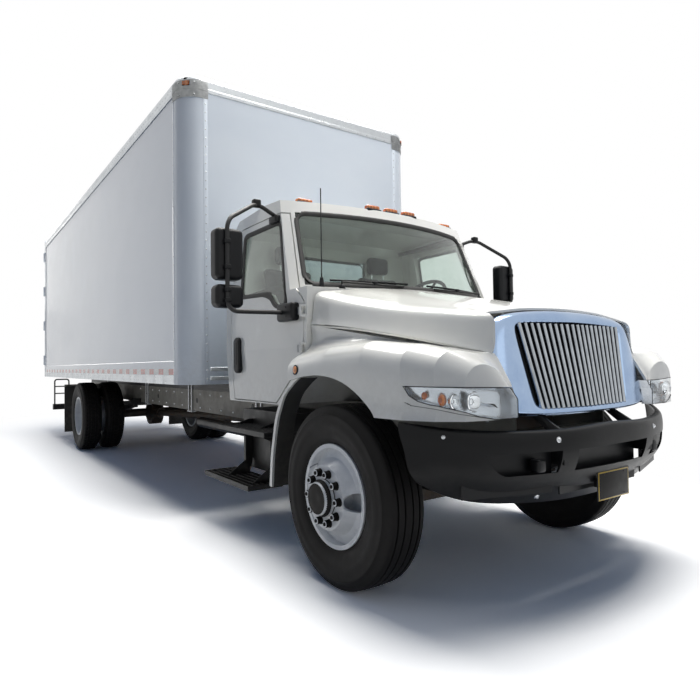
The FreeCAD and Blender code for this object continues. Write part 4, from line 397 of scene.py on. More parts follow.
finishes["tintedWindshieldGlass"] = makeGlass("tintedWindshieldGlass", ("#dfe9e4", "#d3ded8"),
                                              0.02, 0.05)
finishes["mirrorGlass"] = makeFinish("mirrorGlass", {
    "base": "#d5d9dc", "other": "#cbd0d4", "patch": 90, "rough": 0.05, "vary": 0.03, "metal": 1,
    "grain": 200, "depth": 0.02})
finishes["amberLens"] = makeLens("amberLens", "#f08a2c", "#c85e10", 0.15, 0.005)
finishes["redLens"] = makeLens("redLens", "#b3161a", "#7d0c10", 0.12, 0.005)
finishes["clearLens"] = makeGlass("clearLens", ("#f4f6f7", "#e9edef"), 0.02, 0.03)
finishes["wovenSeatCloth"] = makeCloth("wovenSeatCloth", "#232529", "#34373c")
finishes["sealedFloorBoards"] = makeBoards("sealedFloorBoards", 1.2225)
finishes["whiteReflectiveTape"] = makeFinish("whiteReflectiveTape", {
    "base": "#dfe0de", "other": "#cfd1d0", "patch": 12, "rough": 0.3, "vary": 0.1, "grain": 3,
    "depth": 0.1, "coat": 0.6})
finishes["redReflectiveTape"] = makeFinish("redReflectiveTape", {
    "base": "#b8382c", "other": "#9c2a22", "patch": 12, "rough": 0.3, "vary": 0.1, "grain": 3,
    "depth": 0.1, "coat": 0.6})

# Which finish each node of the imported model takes
nodeFinishes = {
    "greyChassisPaint": ("frame",),
    "roughCastIron": ("front_axle", "knuckle_left", "knuckle_right", "rear_axle", "engine",
                      "driveline"),
    "roadWornTyreRubber": ("front_tyre_left", "front_tyre_right", "rear_tyres_left",
                           "rear_tyres_right"),
    "whiteWheelPaint": ("front_wheel_left", "front_wheel_right", "rear_wheels_left",
                        "rear_wheels_right"),
    "satinBlackSteel": ("leaf_springs", "radiator", "exhaust", "cab_steps", "rear_guard",
                        "wipers_and_aerial"),
    "sealedFloorBoards": ("box_floor",),
    "glossWhiteBodySheet": ("box_sides", "box_front", "rear_frame", "rear_door_left",
                            "rear_door_right"),
    "satinExtrudedAluminium": ("box_roof",),
    "glossWhiteCabPaint": ("cab_shell", "door_left", "door_right", "hood", "fenders"),
    "tintedWindshieldGlass": ("cab_glass", "door_glass_left", "door_glass_right"),
    "satinBlackPlastic": ("mirror_left", "mirror_right"),
    "grainedDarkGreyPlastic": ("dashboard", "steering_wheel"),
    "wovenSeatCloth": ("seats",),
    "clearLens": ("headlamps",),
    "brightChrome": ("grille",),
    "darkGreySatinBumper": ("front_bumper",),
    "brushedAluminiumTank": ("fuel_tank",),
    "blackSheetRubber": ("mudflaps",),
    "amberLens": ("lamps",)}
for finish, names in nodeFinishes.items():
    for name in names:
        for slot in frame["nodes"][name].material_slots:
            slot.material = finishes[finish]
print("finishes made")


# Stage: a pale floor that fades to white round the truck, and soft light from above, from
# ahead and from behind
stageSizes = {"floor": 90, "near": 1.9, "far": 3.8, "slim": 0.36, "pale": 1.6, "air": 0.17,
              "warm": (1.0, 0.98, 0.94)}
# name, place, the place it is turned to, width, height and power of each lamp
stageLamps = (("keyLamp", (0.5, -1.2, 9.5), (0, 0.5, 0), 5.0, 11.0, 1750),
              ("frontLamp", (-0.5, -17.0, 5.5), (0, -3, 1.5), 8, 5, 60),
              ("rearLamp", (1.5, 17.0, 6.0), (0, 5, 2.0), 8, 5, 420))


def seenShare(tree):
    # 1 where the camera sees a surface directly, in a reflection or through glass, else 0
    rays = addNode(tree, "LightPath")
    seen = addNode(tree, "Math", {0: rays["Is Camera Ray"], 1: rays["Is Glossy Ray"]},
                   operation="MAXIMUM")[0]
    return addNode(tree, "Math", {0: seen, 1: rays["Is Transmission Ray"]},
                   operation="MAXIMUM")[0]


def makeStage():
    scene.view_settings.view_transform = "Standard"
    bm = bmesh.new()
    bmesh.ops.create_grid(bm, x_segments=8, y_segments=8, size=stageSizes["floor"] / 2)
    mesh = bpy.data.meshes.new("floor")
    bm.to_mesh(mesh)
    bm.free()
    floor = bpy.data.objects.new("floor", mesh)
    scene.collection.objects.link(floor)
    finish, tree = openTree("paleStudioFloor")
    seen = seenShare(tree)
    place = addNode(tree, "TexCoord")["Object"]
    drawn = addNode(tree, "VectorMath", {0: place, 1: (1, stageSizes["slim"], 1)},
                    operation="MULTIPLY")["Vector"]
    middle = addNode(tree, "VectorMath", {0: drawn}, operation="LENGTH")["Value"]
    away = addNode(tree, "MapRange", {0: middle, 1: stageSizes["near"], 2: stageSizes["far"]})[0]
    pale = [share * stageSizes["pale"] for share in colour("#ffffff")]
    tone = addNode(tree, "Mix", {0: seen, 6: colour("#b4b5b6"), 7: pale}, data_type="RGBA")[2]
    near = addNode(tree, "BsdfDiffuse", {"Color": tone})
    far = addNode(tree, "Emission", {"Color": colour("#ffffff"), "Strength": 1.0})
    share = addNode(tree, "Math", {0: away, 1: seen}, operation="MULTIPLY")[0]
    mixed = addNode(tree, "MixShader", {0: share, 1: near[0], 2: far[0]})
    addNode(tree, "OutputMaterial", {"Surface": mixed[0]})
    mesh.materials.append(finish)
    world = bpy.data.worlds.new("paleRoom")
    scene.world = world
    world.use_nodes = True
    tree = world.node_tree
    tree.nodes.clear()
    seen = seenShare(tree)
    tone = addNode(tree, "Mix", {0: seen, 6: colour("#a0bde9"), 7: colour("#ffffff")},
                   data_type="RGBA")[2]
    strength = addNode(tree, "MapRange", {0: seen, 3: stageSizes["air"], 4: 1})[0]
    back = addNode(tree, "Background", {"Color": tone, "Strength": strength})
    addNode(tree, "OutputWorld", {"Surface": back[0]})
    for lamp in stageLamps:
        addLamp(*lamp)


def addLamp(name, place, aim, wide, tall, power):
    lamp = bpy.data.lights.new(name, "AREA")
    lamp.shape = "RECTANGLE"
    lamp.size = wide
    lamp.size_y = tall
    lamp.energy = power
    lamp.color = stageSizes["warm"]
    piece = bpy.data.objects.new(name, lamp)
    piece.location = place
    piece.rotation_euler = (Vector(aim) - Vector(place)).to_track_quat("-Z", "Y").to_euler()
    scene.collection.objects.link(piece)


makeCamera()
makeStage()
print("camera and stage made")


# Mesh helpers
def newPiece(name, bm, finish, body, smooth=35):
    # a mesh object with its finish, edges sharper than the angle left sharp, riding on a body
    mesh = bpy.data.meshes.new(name)
    bm.normal_update()
    bm.to_mesh(mesh)
    bm.free()
    for item in [finish] if isinstance(finish, str) else finish:
        mesh.materials.append(finishes[item])
    if smooth:
        mesh.polygons.foreach_set("use_smooth", [True] * len(mesh.polygons))
        mesh.set_sharp_from_angle(angle=math.radians(smooth))
    piece = bpy.data.objects.new(name, mesh)
    scene.collection.objects.link(piece)
    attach(piece, body)
    return piece


def smoothed(piece, levels):
    rounding = piece.modifiers.new("rounding", "SUBSURF")
    rounding.levels = rounding.render_levels = levels


def rounded(bm, items, offset, segments, affect="EDGES"):
    bmesh.ops.bevel(bm, geom=items, offset=offset, segments=segments, profile=0.5, affect=affect,
                    material=-1)


def turnedAbout(bm, profile, centre, axis, steps):
    # a full turn of a profile of (along, radius) points about an axis through the centre
    side = axis.orthogonal().normalized()
    verts = [bm.verts.new(centre + axis * along + side * radius) for along, radius in profile]
    edges = [bm.edges.new(pair) for pair in zip(verts, verts[1:])]
    before = set(bm.faces)
    bmesh.ops.spin(bm, geom=verts + edges, cent=centre, axis=axis, angle=2 * math.pi,
                   steps=steps, use_merge=True)
    made = [face for face in bm.faces if face not in before]
    bmesh.ops.remove_doubles(bm, verts=list({v for face in made for v in face.verts}), dist=1e-5)
    bmesh.ops.recalc_face_normals(bm, faces=[face for face in bm.faces if face not in before])


def addCube(bm, one, two):
    # a block between two opposite corners
    size = [abs(far - near) for near, far in zip(one, two)]
    turn = Matrix.Translation((Vector(one) + Vector(two)) / 2) @ Matrix.Diagonal((*size, 1))
    return bmesh.ops.create_cube(bm, size=1, matrix=turn)["verts"]


def addBox(bm, one, two, bevel=0.0, segments=2, index=0):
    # a block between two opposite corners with rounded edges and a finish from the list
    before = set(bm.faces)
    verts = addCube(bm, one, two)
    if bevel:
        rounded(bm, list({edge for v in verts for edge in v.link_edges}), bevel, segments)
    for face in bm.faces:
        if face not in before:
            face.material_index = index


def addPrism(bm, points, axis, deep, bevel=0.0, segments=2):
    # a flat outline pushed out along an axis, its rims rounded
    before = set(bm.faces)
    face = bm.faces.new([bm.verts.new(point) for point in points])
    made = bmesh.ops.extrude_face_region(bm, geom=[face])["geom"]
    moved = [item for item in made if isinstance(item, bmesh.types.BMVert)]
    bmesh.ops.translate(bm, verts=moved, vec=Vector(axis) * deep)
    fresh = [item for item in bm.faces if item not in before]
    bmesh.ops.recalc_face_normals(bm, faces=fresh)
    if bevel:
        rounded(bm, [edge for edge in {e for item in fresh for e in item.edges}
                     if abs((edge.verts[0].co - edge.verts[1].co).normalized().dot(axis)) < 0.5],
                bevel, segments)


def bridgedRings(bm, rings, joined=False):
    # closed rings of as many places each, joined one to the next, and the last to the first
    before = set(bm.faces)
    loops = []
    for ring in rings:
        verts = [bm.verts.new(point) for point in ring]
        loops.append([bm.edges.new((verts[at - 1], verts[at])) for at in range(len(verts))])
    for one, two in zip(loops, loops[1:] + (loops[:1] if joined else [])):
        bmesh.ops.bridge_loops(bm, edges=one + two)
    bmesh.ops.recalc_face_normals(bm, faces=[face for face in bm.faces if face not in before])


def addTube(bm, points, radius, around=10, closed=False):
    # a round tube along the points, mitred at each
    points = [Vector(point) for point in points]
    count = len(points)
    turns = [2 * math.pi * at / around for at in range(around)]
    rings = []
    last = None
    for step, point in enumerate(points):
        ways = []
        if closed or step < count - 1:
            ways.append((points[(step + 1) % count] - point).normalized())
        if closed or step > 0:
            ways.append((point - points[step - 1]).normalized())
        way = (ways[0] + ways[-1]).normalized()
        last = last or way.orthogonal().normalized()
        last = (last - way * last.dot(way)).normalized()
        over = way.cross(last)
        rings.append([bm.verts.new(point + (last * math.cos(turn) + over * math.sin(turn))
                                   * radius) for turn in turns])
    made = []
    for one, two in list(zip(rings, rings[1:])) + ([(rings[-1], rings[0])] if closed else []):
        for at in range(around):
            after = (at + 1) % around
            made.append(bm.faces.new((one[at], one[after], two[after], two[at])))
    if not closed:
        made += [bm.faces.new(ring) for ring in (rings[0][::-1], rings[-1])]
    bmesh.ops.recalc_face_normals(bm, faces=made)


def addStud(bm, place, normal, radius, high, around=8):
    # a domed rivet or bolt head standing on a surface
    turn = Matrix.Translation(Vector(place) + Vector(normal) * high / 2) @ \
        Vector(normal).to_track_quat("Z", "Y").to_matrix().to_4x4()
    bmesh.ops.create_cone(bm, cap_ends=True, segments=around, radius1=radius,
                          radius2=radius * 0.55, depth=high, matrix=turn)


def studRow(bm, start, end, pitch, normal, radius, high):
    # studs from one place to another, evenly spaced at about the pitch
    count = max(int(round((end - start).length / pitch)), 1)
    for step in range(count + 1):
        addStud(bm, start.lerp(end, step / count), normal, radius, high)


def hexNut(bm, place, axis, across, high):
    # a flanged hexagon nut with the stud's end showing
    turn = axis.to_track_quat("Z", "Y").to_matrix().to_4x4()
    for around, radius, top, low, deep in (
            (16, across * 0.66, across * 0.6, 0.0, high * 0.22),
            (6, across * 0.577, across * 0.577, high * 0.2, high * 0.66),
            (12, across * 0.3, across * 0.27, high * 0.8, high * 0.2)):
        middle = place + axis * (low + deep / 2)
        bmesh.ops.create_cone(bm, cap_ends=True, segments=around, radius1=radius, radius2=top,
                              depth=deep, matrix=Matrix.Translation(middle) @ turn)


def treeOf(name):
    # a search tree of a CAD node's surface at rest
    mesh = frame["nodes"][name].data
    return BVHTree.FromPolygons([v.co for v in mesh.vertices],
                                [tuple(face.vertices) for face in mesh.polygons])


def skinAt(tree, start, way):
    # where a ray meets the surface, with its normal turned against the ray
    place, normal, _, _ = tree.ray_cast(Vector(start), Vector(way).normalized())
    if place is None:
        return None, None
    if normal.dot(Vector(way)) > 0:
        normal = -normal
    return place, normal


def walked(edges):
    # the places along joined edges, in order
    rest = set(edges)
    ends = [v for edge in edges for v in edge.verts
            if sum(link in rest for link in v.link_edges) == 1]
    vert = ends[0] if ends else edges[0].verts[0]
    places = [vert.co.copy()]
    while True:
        edge = next((link for link in vert.link_edges if link in rest), None)
        if edge is None:
            return places
        rest.discard(edge)
        vert = edge.other_vert(vert)
        if rest or ends:
            places.append(vert.co.copy())


def softLine(corners, rounding, closed=False, segments=5, cut=0.0):
    # a line through the corners, each of them rounded, its long edges cut to about a length
    bm = bmesh.new()
    verts = [bm.verts.new(corner) for corner in corners]
    pairs = list(zip(verts, verts[1:])) + ([(verts[-1], verts[0])] if closed else [])
    for pair in pairs:
        bm.edges.new(pair)
    rounded(bm, verts if closed else verts[1:-1], rounding, segments, "VERTICES")
    if cut:
        for edge in list(bm.edges):
            count = int(edge.calc_length() / cut)
            if count:
                bmesh.ops.subdivide_edges(bm, edges=[edge], cuts=count)
    places = walked(list(bm.edges))
    bm.free()
    return places


def heldIn(corners, gap):
    # a flat outline of (across, up) places with every side moved in by the gap
    middle = sum((Vector(corner) for corner in corners), Vector((0, 0))) / len(corners)
    rim = []
    for at, corner in enumerate(corners):
        corner = Vector(corner)
        ways = [(corner - Vector(corners[at - 1])).normalized(),
                (Vector(corners[(at + 1) % len(corners)]) - corner).normalized()]
        inward = [Vector((-way.y, way.x)) for way in ways]
        inward = [way if way.dot(middle - corner) > 0 else -way for way in inward]
        both = inward[0] + inward[1]
        rim.append(corner + both * gap / (1 + inward[0].dot(inward[1])))
    return rim


# Tyres: 11R22.5, ribbed in front and lugged behind
tyreSizes = {"half": 0.1395, "tread": 0.113, "crown": 0.005, "groove": 0.013, "slot": 0.0055,
             "bead": 0.2865, "steps": 96, "lugs": 56, "lugSteps": 4,
             "frontGrooves": (0.0265, 0.0725), "rearGrooves": (0.0300, 0.0700)}


def tyreProfile(grooves):
    # half section points (across, radius, depth of tread) from the middle out to the bead
    radius = (tyreHigh.z - tyreLow.z) / 2
    tread = tyreSizes["tread"]
    rows = []
    edge = 0.0
    for middle in grooves:
        half = tyreSizes["slot"]
        rows += [(edge, 1), (middle - half, 1), (middle - half * 0.7, 0), (middle + half * 0.7, 0)]
        edge = middle + half
    rows += [(edge, 1), (tread - 0.012, 1)]
    crown = [(x, radius - tyreSizes["crown"] * (x / tread) ** 2
              - (0 if top else tyreSizes["groove"])) for x, top in rows]
    wall = [(tread, radius - 0.0145), (tread + 0.004, radius - 0.03),
            (tread + 0.0085, radius - 0.036), (0.1310, 0.470), (0.1345, 0.468), (0.1365, 0.455),
            (0.1352, 0.451), (0.1388, 0.428), (0.1395, 0.416), (0.1385, 0.396), (0.1362, 0.392),
            (0.1345, 0.370), (0.1280, 0.342), (0.1190, 0.322), (0.1130, 0.318), (0.1085, 0.309),
            (0.1050, 0.301), (0.1032, 0.2870), (0.0900, tyreSizes["bead"])]
    return crown + wall


def turnedTyre(bm, x, y, grooves, steps):
    half = tyreProfile(grooves)
    profile = [(-across, radius) for across, radius in reversed(half) if across] + half
    centre = Vector((x, y, (tyreHigh.z + tyreLow.z) / 2))
    turnedAbout(bm, profile, centre, acrossAxis, steps)
    return centre


def makeLuggedTyre(bm, x):
    # the shoulder and middle ribs are cut across by slots, block by block
    steps = tyreSizes["lugs"] * tyreSizes["lugSteps"]
    before = set(bm.faces)
    centre = turnedTyre(bm, x, rearAxleY, tyreSizes["rearGrooves"], steps)
    fresh = [face for face in bm.faces if face not in before]
    radius = (tyreHigh.z - tyreLow.z) / 2
    for vert in {v for face in fresh for v in face.verts}:
        away = vert.co - centre
        across = abs(away.x)
        away.x = 0
        if across > tyreSizes["tread"] or away.length < radius - 0.007:
            continue
        turn = math.atan2(away.z, away.y) / (2 * math.pi) * steps
        step = round(turn) + (2 if across > 0.05 else 0)
        if step % tyreSizes["lugSteps"] == 0:
            vert.co -= away.normalized() * tyreSizes["groove"] * 0.85


def makeTyres():
    for _, side in sides:
        node = "front_tyre_" + side
        low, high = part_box(node)
        bm = bmesh.new()
        turnedTyre(bm, (low.x + high.x) / 2, axleY, tyreSizes["frontGrooves"], tyreSizes["steps"])
        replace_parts(newPiece("steerTyre_" + side, bm, "roadWornTyreRubber",
                             "front_wheel_" + side, 40), node)
        node = "rear_tyres_" + side
        low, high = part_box(node)
        bm = bmesh.new()
        for x in (low.x + tyreSizes["half"], high.x - tyreSizes["half"]):
            makeLuggedTyre(bm, x)
        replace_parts(newPiece("driveTyres_" + side, bm, "roadWornTyreRubber",
                             "rear_wheels_" + side, 40), node)


# Wheel fittings: black nuts, hub and oil cap in front, axle flange behind
wheelSizes = {"count": 10, "circle": 0.143, "across": 0.03816, "nutHigh": 0.041, "hub": 0.1048,
              "mount": 0.168, "cap": 0.062, "ring": 0.0885, "capBolts": 6, "capCircle": 0.076,
              "flangeBolts": 8, "flangeCircle": 0.070}


def placesRound(count, radius, shift=0.0):
    # places round a wheel's axis, the first of them turned by a share of a step
    turns = [2 * math.pi * (step + shift) / count for step in range(count)]
    return [Vector((0, math.cos(turn), math.sin(turn))) * radius for turn in turns]


def makeFrontHub(sign, side):
    low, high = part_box("front_tyre_" + side)
    middle = Vector(((low.x + high.x) / 2, axleY, (low.z + high.z) / 2))
    axis = acrossAxis * sign
    mount, hub, ring, cap = [wheelSizes[key] for key in ("mount", "hub", "ring", "cap")]
    bm = bmesh.new()
    turnedAbout(bm, [
        (mount - 0.004, hub), (mount + 0.006, hub), (mount + 0.008, hub - 0.004),
        (mount + 0.018, hub - 0.003), (mount + 0.026, hub), (mount + 0.031, hub),
        (mount + 0.058, ring), (mount + 0.0605, ring - 0.003), (mount + 0.0605, cap + 0.004),
        (mount + 0.0612, cap), (mount + 0.0612, 0.026), (mount + 0.0606, 0.022),
        (mount + 0.0606, 0)], middle, axis, 48)
    for place in placesRound(wheelSizes["capBolts"], wheelSizes["capCircle"]):
        addStud(bm, middle + axis * (mount + 0.0585) + place, axis, 0.0075, 0.0035, 6)
    for place in placesRound(wheelSizes["count"], wheelSizes["circle"]):
        hexNut(bm, middle + axis * (mount - 0.002) + place, axis, wheelSizes["across"],
               wheelSizes["nutHigh"])
    newPiece("hubAndNuts_" + side, bm, "greasyBlackHub", "front_wheel_" + side, 30)
    bm = bmesh.new()
    addTube(bm, [middle + Vector((sign * x, y, z)) for x, y, z in (
        (0.085, 0.20, 0.155), (0.130, 0.185, 0.150), (0.165, 0.168, 0.142))], 0.0045, 8)
    newPiece("valveStem_" + side, bm, "zincPlatedSteel", "front_wheel_" + side, 30)


def makeRearHub(sign, side):
    low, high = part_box("rear_tyres_" + side)
    outer = max(high.x, -low.x) - tyreSizes["half"]
    mount = outer - wheelSizes["mount"]
    hub, ring = wheelSizes["hub"], wheelSizes["ring"]
    middle = Vector((0, rearAxleY, (low.z + high.z) / 2))
    axis = acrossAxis * sign
    bm = bmesh.new()
    turnedAbout(bm, [
        (mount, hub), (mount + 0.066, hub), (mount + 0.0705, hub - 0.004), (mount + 0.0705, ring),
        (mount + 0.0815, ring), (mount + 0.0825, ring - 0.002), (mount + 0.0825, 0.050),
        (mount + 0.0840, 0.046), (mount + 0.0840, 0)], middle, axis, 48)
    for place in placesRound(wheelSizes["flangeBolts"], wheelSizes["flangeCircle"], 0.25):
        hexNut(bm, middle + axis * (mount + 0.0825) + place, axis, 0.019, 0.011)
    for place in placesRound(wheelSizes["count"], wheelSizes["circle"]):
        hexNut(bm, middle + axis * (mount + 0.010) + place, axis, wheelSizes["across"],
               wheelSizes["nutHigh"])
    newPiece("axleFlange_" + side, bm, "greasyBlackHub", "rear_wheels_" + side, 30)


makeTyres()
for sign, side in sides:
    makeFrontHub(sign, side)
    makeRearHub(sign, side)
print("tyres and hubs made")


# Places on a node's surface by a pixel of the photograph
def seenAt(u, v, tree):
    focal = view["lens"] / 36 * 700
    turn = scene.camera.matrix_world.to_3x3()
    start = scene.camera.matrix_world.translation
    across = (u - 350 + view["shiftX"] * 700) / focal
    down = (v - 350 - view["shiftY"] * 700) / focal
    return skinAt(tree, start, turn @ Vector((across, -down, -1)))


# Freight body: rails, seams, rivets, reflective tape and corner caps
bodySizes = {"half": 1.293, "front": 1.962, "end": 9.902, "frame": 9.812, "low": 1.123,
             "railTop": 1.205, "tapeTop": 1.262, "joint": 0.290, "post": 2.155, "wallTop": 3.720,
             "radius": 0.190, "rivet": 0.0065, "rivetHigh": 0.003, "rivetPitch": 0.075,
             "railStart": 2.200, "railEdge": 0.0015, "seamEdge": 0.0008, "flange": 0.034}
bodyRivet = (bodySizes["rivet"], bodySizes["rivetHigh"])


def makeBodySide(sign, side):
    half, low, railTop, wallTop, frame, start = [bodySizes[key] for key in (
        "half", "low", "railTop", "wallTop", "frame", "railStart")]
    out = acrossAxis * sign
    rail, tape, studs, seams = [bmesh.new() for _ in range(4)]
    # the bottom rail in lengths, with the tape over it in red and white squares
    y = start
    while y < frame - 0.1:
        far = min(y + bodySizes["joint"], frame)
        addBox(rail, spot(sign * (half - 0.004), y, low + 0.001),
               spot(sign * (half + 0.006), far - 0.004, railTop), bodySizes["railEdge"])
        for share in (0.25, 0.75):
            for up in (0.028, 0.062):
                addStud(studs, spot(sign * (half + 0.0058), y + (far - y) * share, low + up), out,
                        *bodyRivet)
        middle = (y + far) / 2
        for near, end, index in ((y, middle, 1), (middle, far, 0)):
            addBox(tape, spot(sign * (half - 0.001), near, railTop + 0.004),
                   spot(sign * (half + 0.0012), end, bodySizes["tapeTop"]), index=index)
        y = far
    # the top rail's flange and its rivets
    addBox(rail, spot(sign * (half - 0.002), start, wallTop - bodySizes["flange"]),
           spot(sign * (half + 0.004), frame, wallTop + 0.004), bodySizes["railEdge"])
    for up, proud in ((-0.018, 0.0038), (0.036, 0.0)):
        studRow(studs, spot(sign * (half + proud), 2.25, wallTop + up),
                spot(sign * (half + proud), 9.78, wallTop + up), bodySizes["rivetPitch"], out,
                *bodyRivet)
    # the post's seam on the side, the seam to the rear frame, and the post's seam in front
    for near, end, along in ((bodySizes["post"] + 0.018, bodySizes["post"] + 0.056,
                              bodySizes["post"] + 0.036), (frame - 0.05, frame - 0.004,
                                                           frame - 0.026)):
        addBox(seams, spot(sign * (half - 0.002), near, low + 0.002),
               spot(sign * (half + 0.0022), end, wallTop - 0.036), bodySizes["seamEdge"])
        studRow(studs, spot(sign * (half + 0.002), along, bodySizes["tapeTop"] + 0.03),
                spot(sign * (half + 0.002), along, wallTop - 0.06), bodySizes["rivetPitch"], out,
                *bodyRivet)
    inner = half - bodySizes["radius"]
    front = bodySizes["front"] - 0.002
    addBox(seams, spot(sign * inner, front - 0.0002, low + 0.002),
           spot(sign * (inner - 0.04), front + 0.004, wallTop - 0.03), bodySizes["seamEdge"])
    studRow(studs, spot(sign * (inner - 0.02), front, low + 0.05),
            spot(sign * (inner - 0.02), front, wallTop - 0.06), bodySizes["rivetPitch"],
            -alongAxis, *bodyRivet)
    newPiece("bodyRails_" + side, rail, "satinExtrudedAluminium", "truck", 30)
    newPiece("bodyTape_" + side, tape, ("whiteReflectiveTape", "redReflectiveTape"), "truck", 0)
    newPiece("bodyRivets_" + side, studs, "zincPlatedSteel", "truck", 50)
    newPiece("bodySeams_" + side, seams, "glossWhiteBodySheet", "truck", 30)


# Cast cap over the top of each corner post, with a raised pocket for its marker lamp
capSizes = {"over": 0.0035, "arm": 0.045, "steps": 10, "thick": 0.004, "studSide": 0.0735,
            "studs": (3.652, 3.760),
            "rows": ((3.630, 0.0), (3.632, 0.0015), (3.700, 0.002), (3.7035, 0.005),
                     (3.722, 0.005), (3.724, 0.002), (3.772, 0.002), (3.785, 0.0))}


def makeCornerCap(sign, side):
    radius = bodySizes["radius"] + capSizes["over"]
    centre = spot(sign * (bodySizes["half"] - bodySizes["radius"]),
                  bodySizes["front"] + bodySizes["radius"], 0)
    turns = [math.pi / 2 * step / capSizes["steps"] for step in range(capSizes["steps"] + 1)]
    plan = [(radius * math.sin(angle), -radius * math.cos(angle)) for angle in turns]
    plan = [(-capSizes["arm"], -radius)] + plan + [(radius, capSizes["arm"])]
    bm = bmesh.new()
    grid = []
    for up, proud in capSizes["rows"]:
        row = []
        for x, y in plan:
            away = Vector((x * sign, y, 0))
            row.append(bm.verts.new(centre + away + away.normalized() * proud + upAxis * up))
        grid.append(row)
    for one, two in zip(grid, grid[1:]):
        for at in range(len(plan) - 1):
            face = (one[at], one[at + 1], two[at + 1], two[at])
            bm.faces.new(face if sign > 0 else face[::-1])
    bmesh.ops.solidify(bm, geom=bm.faces, thickness=capSizes["thick"])
    middle = Vector((sign, -1, 0)).normalized()
    way = Vector((1, sign, 0)).normalized()
    for shift in (-capSizes["studSide"], capSizes["studSide"]):
        for up in capSizes["studs"]:
            addStud(bm, centre + middle * (radius - 0.009) + way * shift + upAxis * up, middle,
                    0.0075, 0.008)
    newPiece("cornerCap_" + side, bm, "castAluminium", "truck", 30)


def makeFrontWall():
    half = bodySizes["half"] - bodySizes["radius"]
    front, wallTop = bodySizes["front"], bodySizes["wallTop"]
    bars, studs, roof = [bmesh.new() for _ in range(3)]
    for up in (1.158, 1.238):
        addBox(bars, spot(-half + 0.045, front - 0.014, up), spot(half - 0.045, front + 0.001,
               up + 0.034), 0.005, 3)
    # the rail's lower flange, with the rivets that hold it
    addBox(bars, spot(-half, front - 0.004, wallTop - bodySizes["flange"]),
           spot(half, front + 0.002, wallTop + 0.004), bodySizes["railEdge"])
    studRow(studs, spot(-half + 0.03, front - 0.0038, wallTop - 0.016),
            spot(half - 0.03, front - 0.0038, wallTop - 0.016), 0.12, -alongAxis, 0.008, 0.004)
    newPiece("frontRubRails", bars, "satinExtrudedAluminium", "truck", 30)
    newPiece("frontRivets", studs, "zincPlatedSteel", "truck", 50)
    # roof sheet seams
    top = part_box("box_roof")[1].z
    for step in range(7):
        y = front + 0.9 + step * 1.15
        addBox(roof, spot(-1.2, y, top - 0.004), spot(1.2, y + 0.04, top - 0.0005), 0.0006, 1)
    newPiece("roofSeams", roof, "satinExtrudedAluminium", "truck", 30)


# Swing doors: compressed rubber seals, hinge bolts, keepers, lock rods and tape
doorSizes = {"inner": 0.006, "outer": 1.222, "inset": 0.002, "seal": 0.006,
             "hinges": (0.069, 0.356, 0.643, 0.931), "bolts": (1.135, 1.175), "boltDrop": 0.02,
             "rows": (0.05, 0.62, 1.17), "rod": 0.23, "rodEnd": 0.0695, "rodRadius": 0.0147,
             "handleEnd": 0.5512, "handleLow": 0.8188, "handleTop": 0.8512, "tapes": 4,
             "tapeLong": 0.29, "tapeLow": 0.16, "tapeTop": 0.21}


def makeRearDoors():
    inner, outer, rod, long = [doorSizes[key] for key in ("inner", "outer", "rod", "tapeLong")]
    out = bodySizes["end"]
    for sign, side in sides:
        body = "rear_door_" + side
        low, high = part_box(body)
        bottom, top = low.z + doorSizes["inset"], high.z - doorSizes["inset"]
        seals, metal, rods, tape = [bmesh.new() for _ in range(4)]
        rim = [(inner, bottom), (outer, bottom), (outer, top), (inner, top)]
        addTube(seals, [spot(sign * x, out - 0.004, z) for x, z in rim], doorSizes["seal"], 8,
                closed=True)
        newPiece("doorSeal_" + side, seals, "blackSheetRubber", body, 40)
        for share in doorSizes["hinges"]:
            up = low.z + (high.z - low.z) * share
            for x in doorSizes["bolts"]:
                for lift in (-doorSizes["boltDrop"], doorSizes["boltDrop"]):
                    addStud(metal, spot(sign * x, out + 0.0118, up + lift), alongAxis, 0.0085,
                            0.005, 6)
        for up in (bottom + 0.05, top - 0.05):
            addBox(metal, spot(sign * (rod - 0.04), out, up - 0.035),
                   spot(sign * (rod + 0.04), out + 0.036, up + 0.035), 0.006)
        for x in doorSizes["rows"]:
            studRow(metal, spot(sign * x, out, bottom + 0.1), spot(sign * x, out, top - 0.1),
                    0.15, alongAxis, 0.006, 0.003)
        newPiece("doorFittings_" + side, metal, "zincPlatedSteel", body, 30)
        # bare zinc over the lock rod and its handle
        addTube(rods, [spot(sign * rod, out + 0.018, low.z + doorSizes["rodEnd"]),
                       spot(sign * rod, out + 0.018, high.z - doorSizes["rodEnd"])],
                doorSizes["rodRadius"], 20)
        addBox(rods, spot(sign * rod, out + 0.0172, low.z + doorSizes["handleLow"]),
               spot(sign * doorSizes["handleEnd"], out + 0.0332,
                    low.z + doorSizes["handleTop"]), 0.0011)
        newPiece("lockRods_" + side, rods, "zincPlatedSteel", body, 40)
        for step in range(doorSizes["tapes"]):
            addBox(tape, spot(sign * (0.05 + step * long), out - 0.0005,
                              bottom + doorSizes["tapeLow"]),
                   spot(sign * (0.05 + (step + 1) * long), out + 0.001,
                        bottom + doorSizes["tapeTop"]), index=step % 2)
        newPiece("doorTape_" + side, tape, ("whiteReflectiveTape", "redReflectiveTape"), body, 0)


# Lamps: amber in front and on the sides, red behind, each on a black base
def cornersOf(places):
    # the lowest and the highest corner of a box round the places
    return [Vector([pick(place[at] for place in places) for at in range(3)])
            for pick in (min, max)]


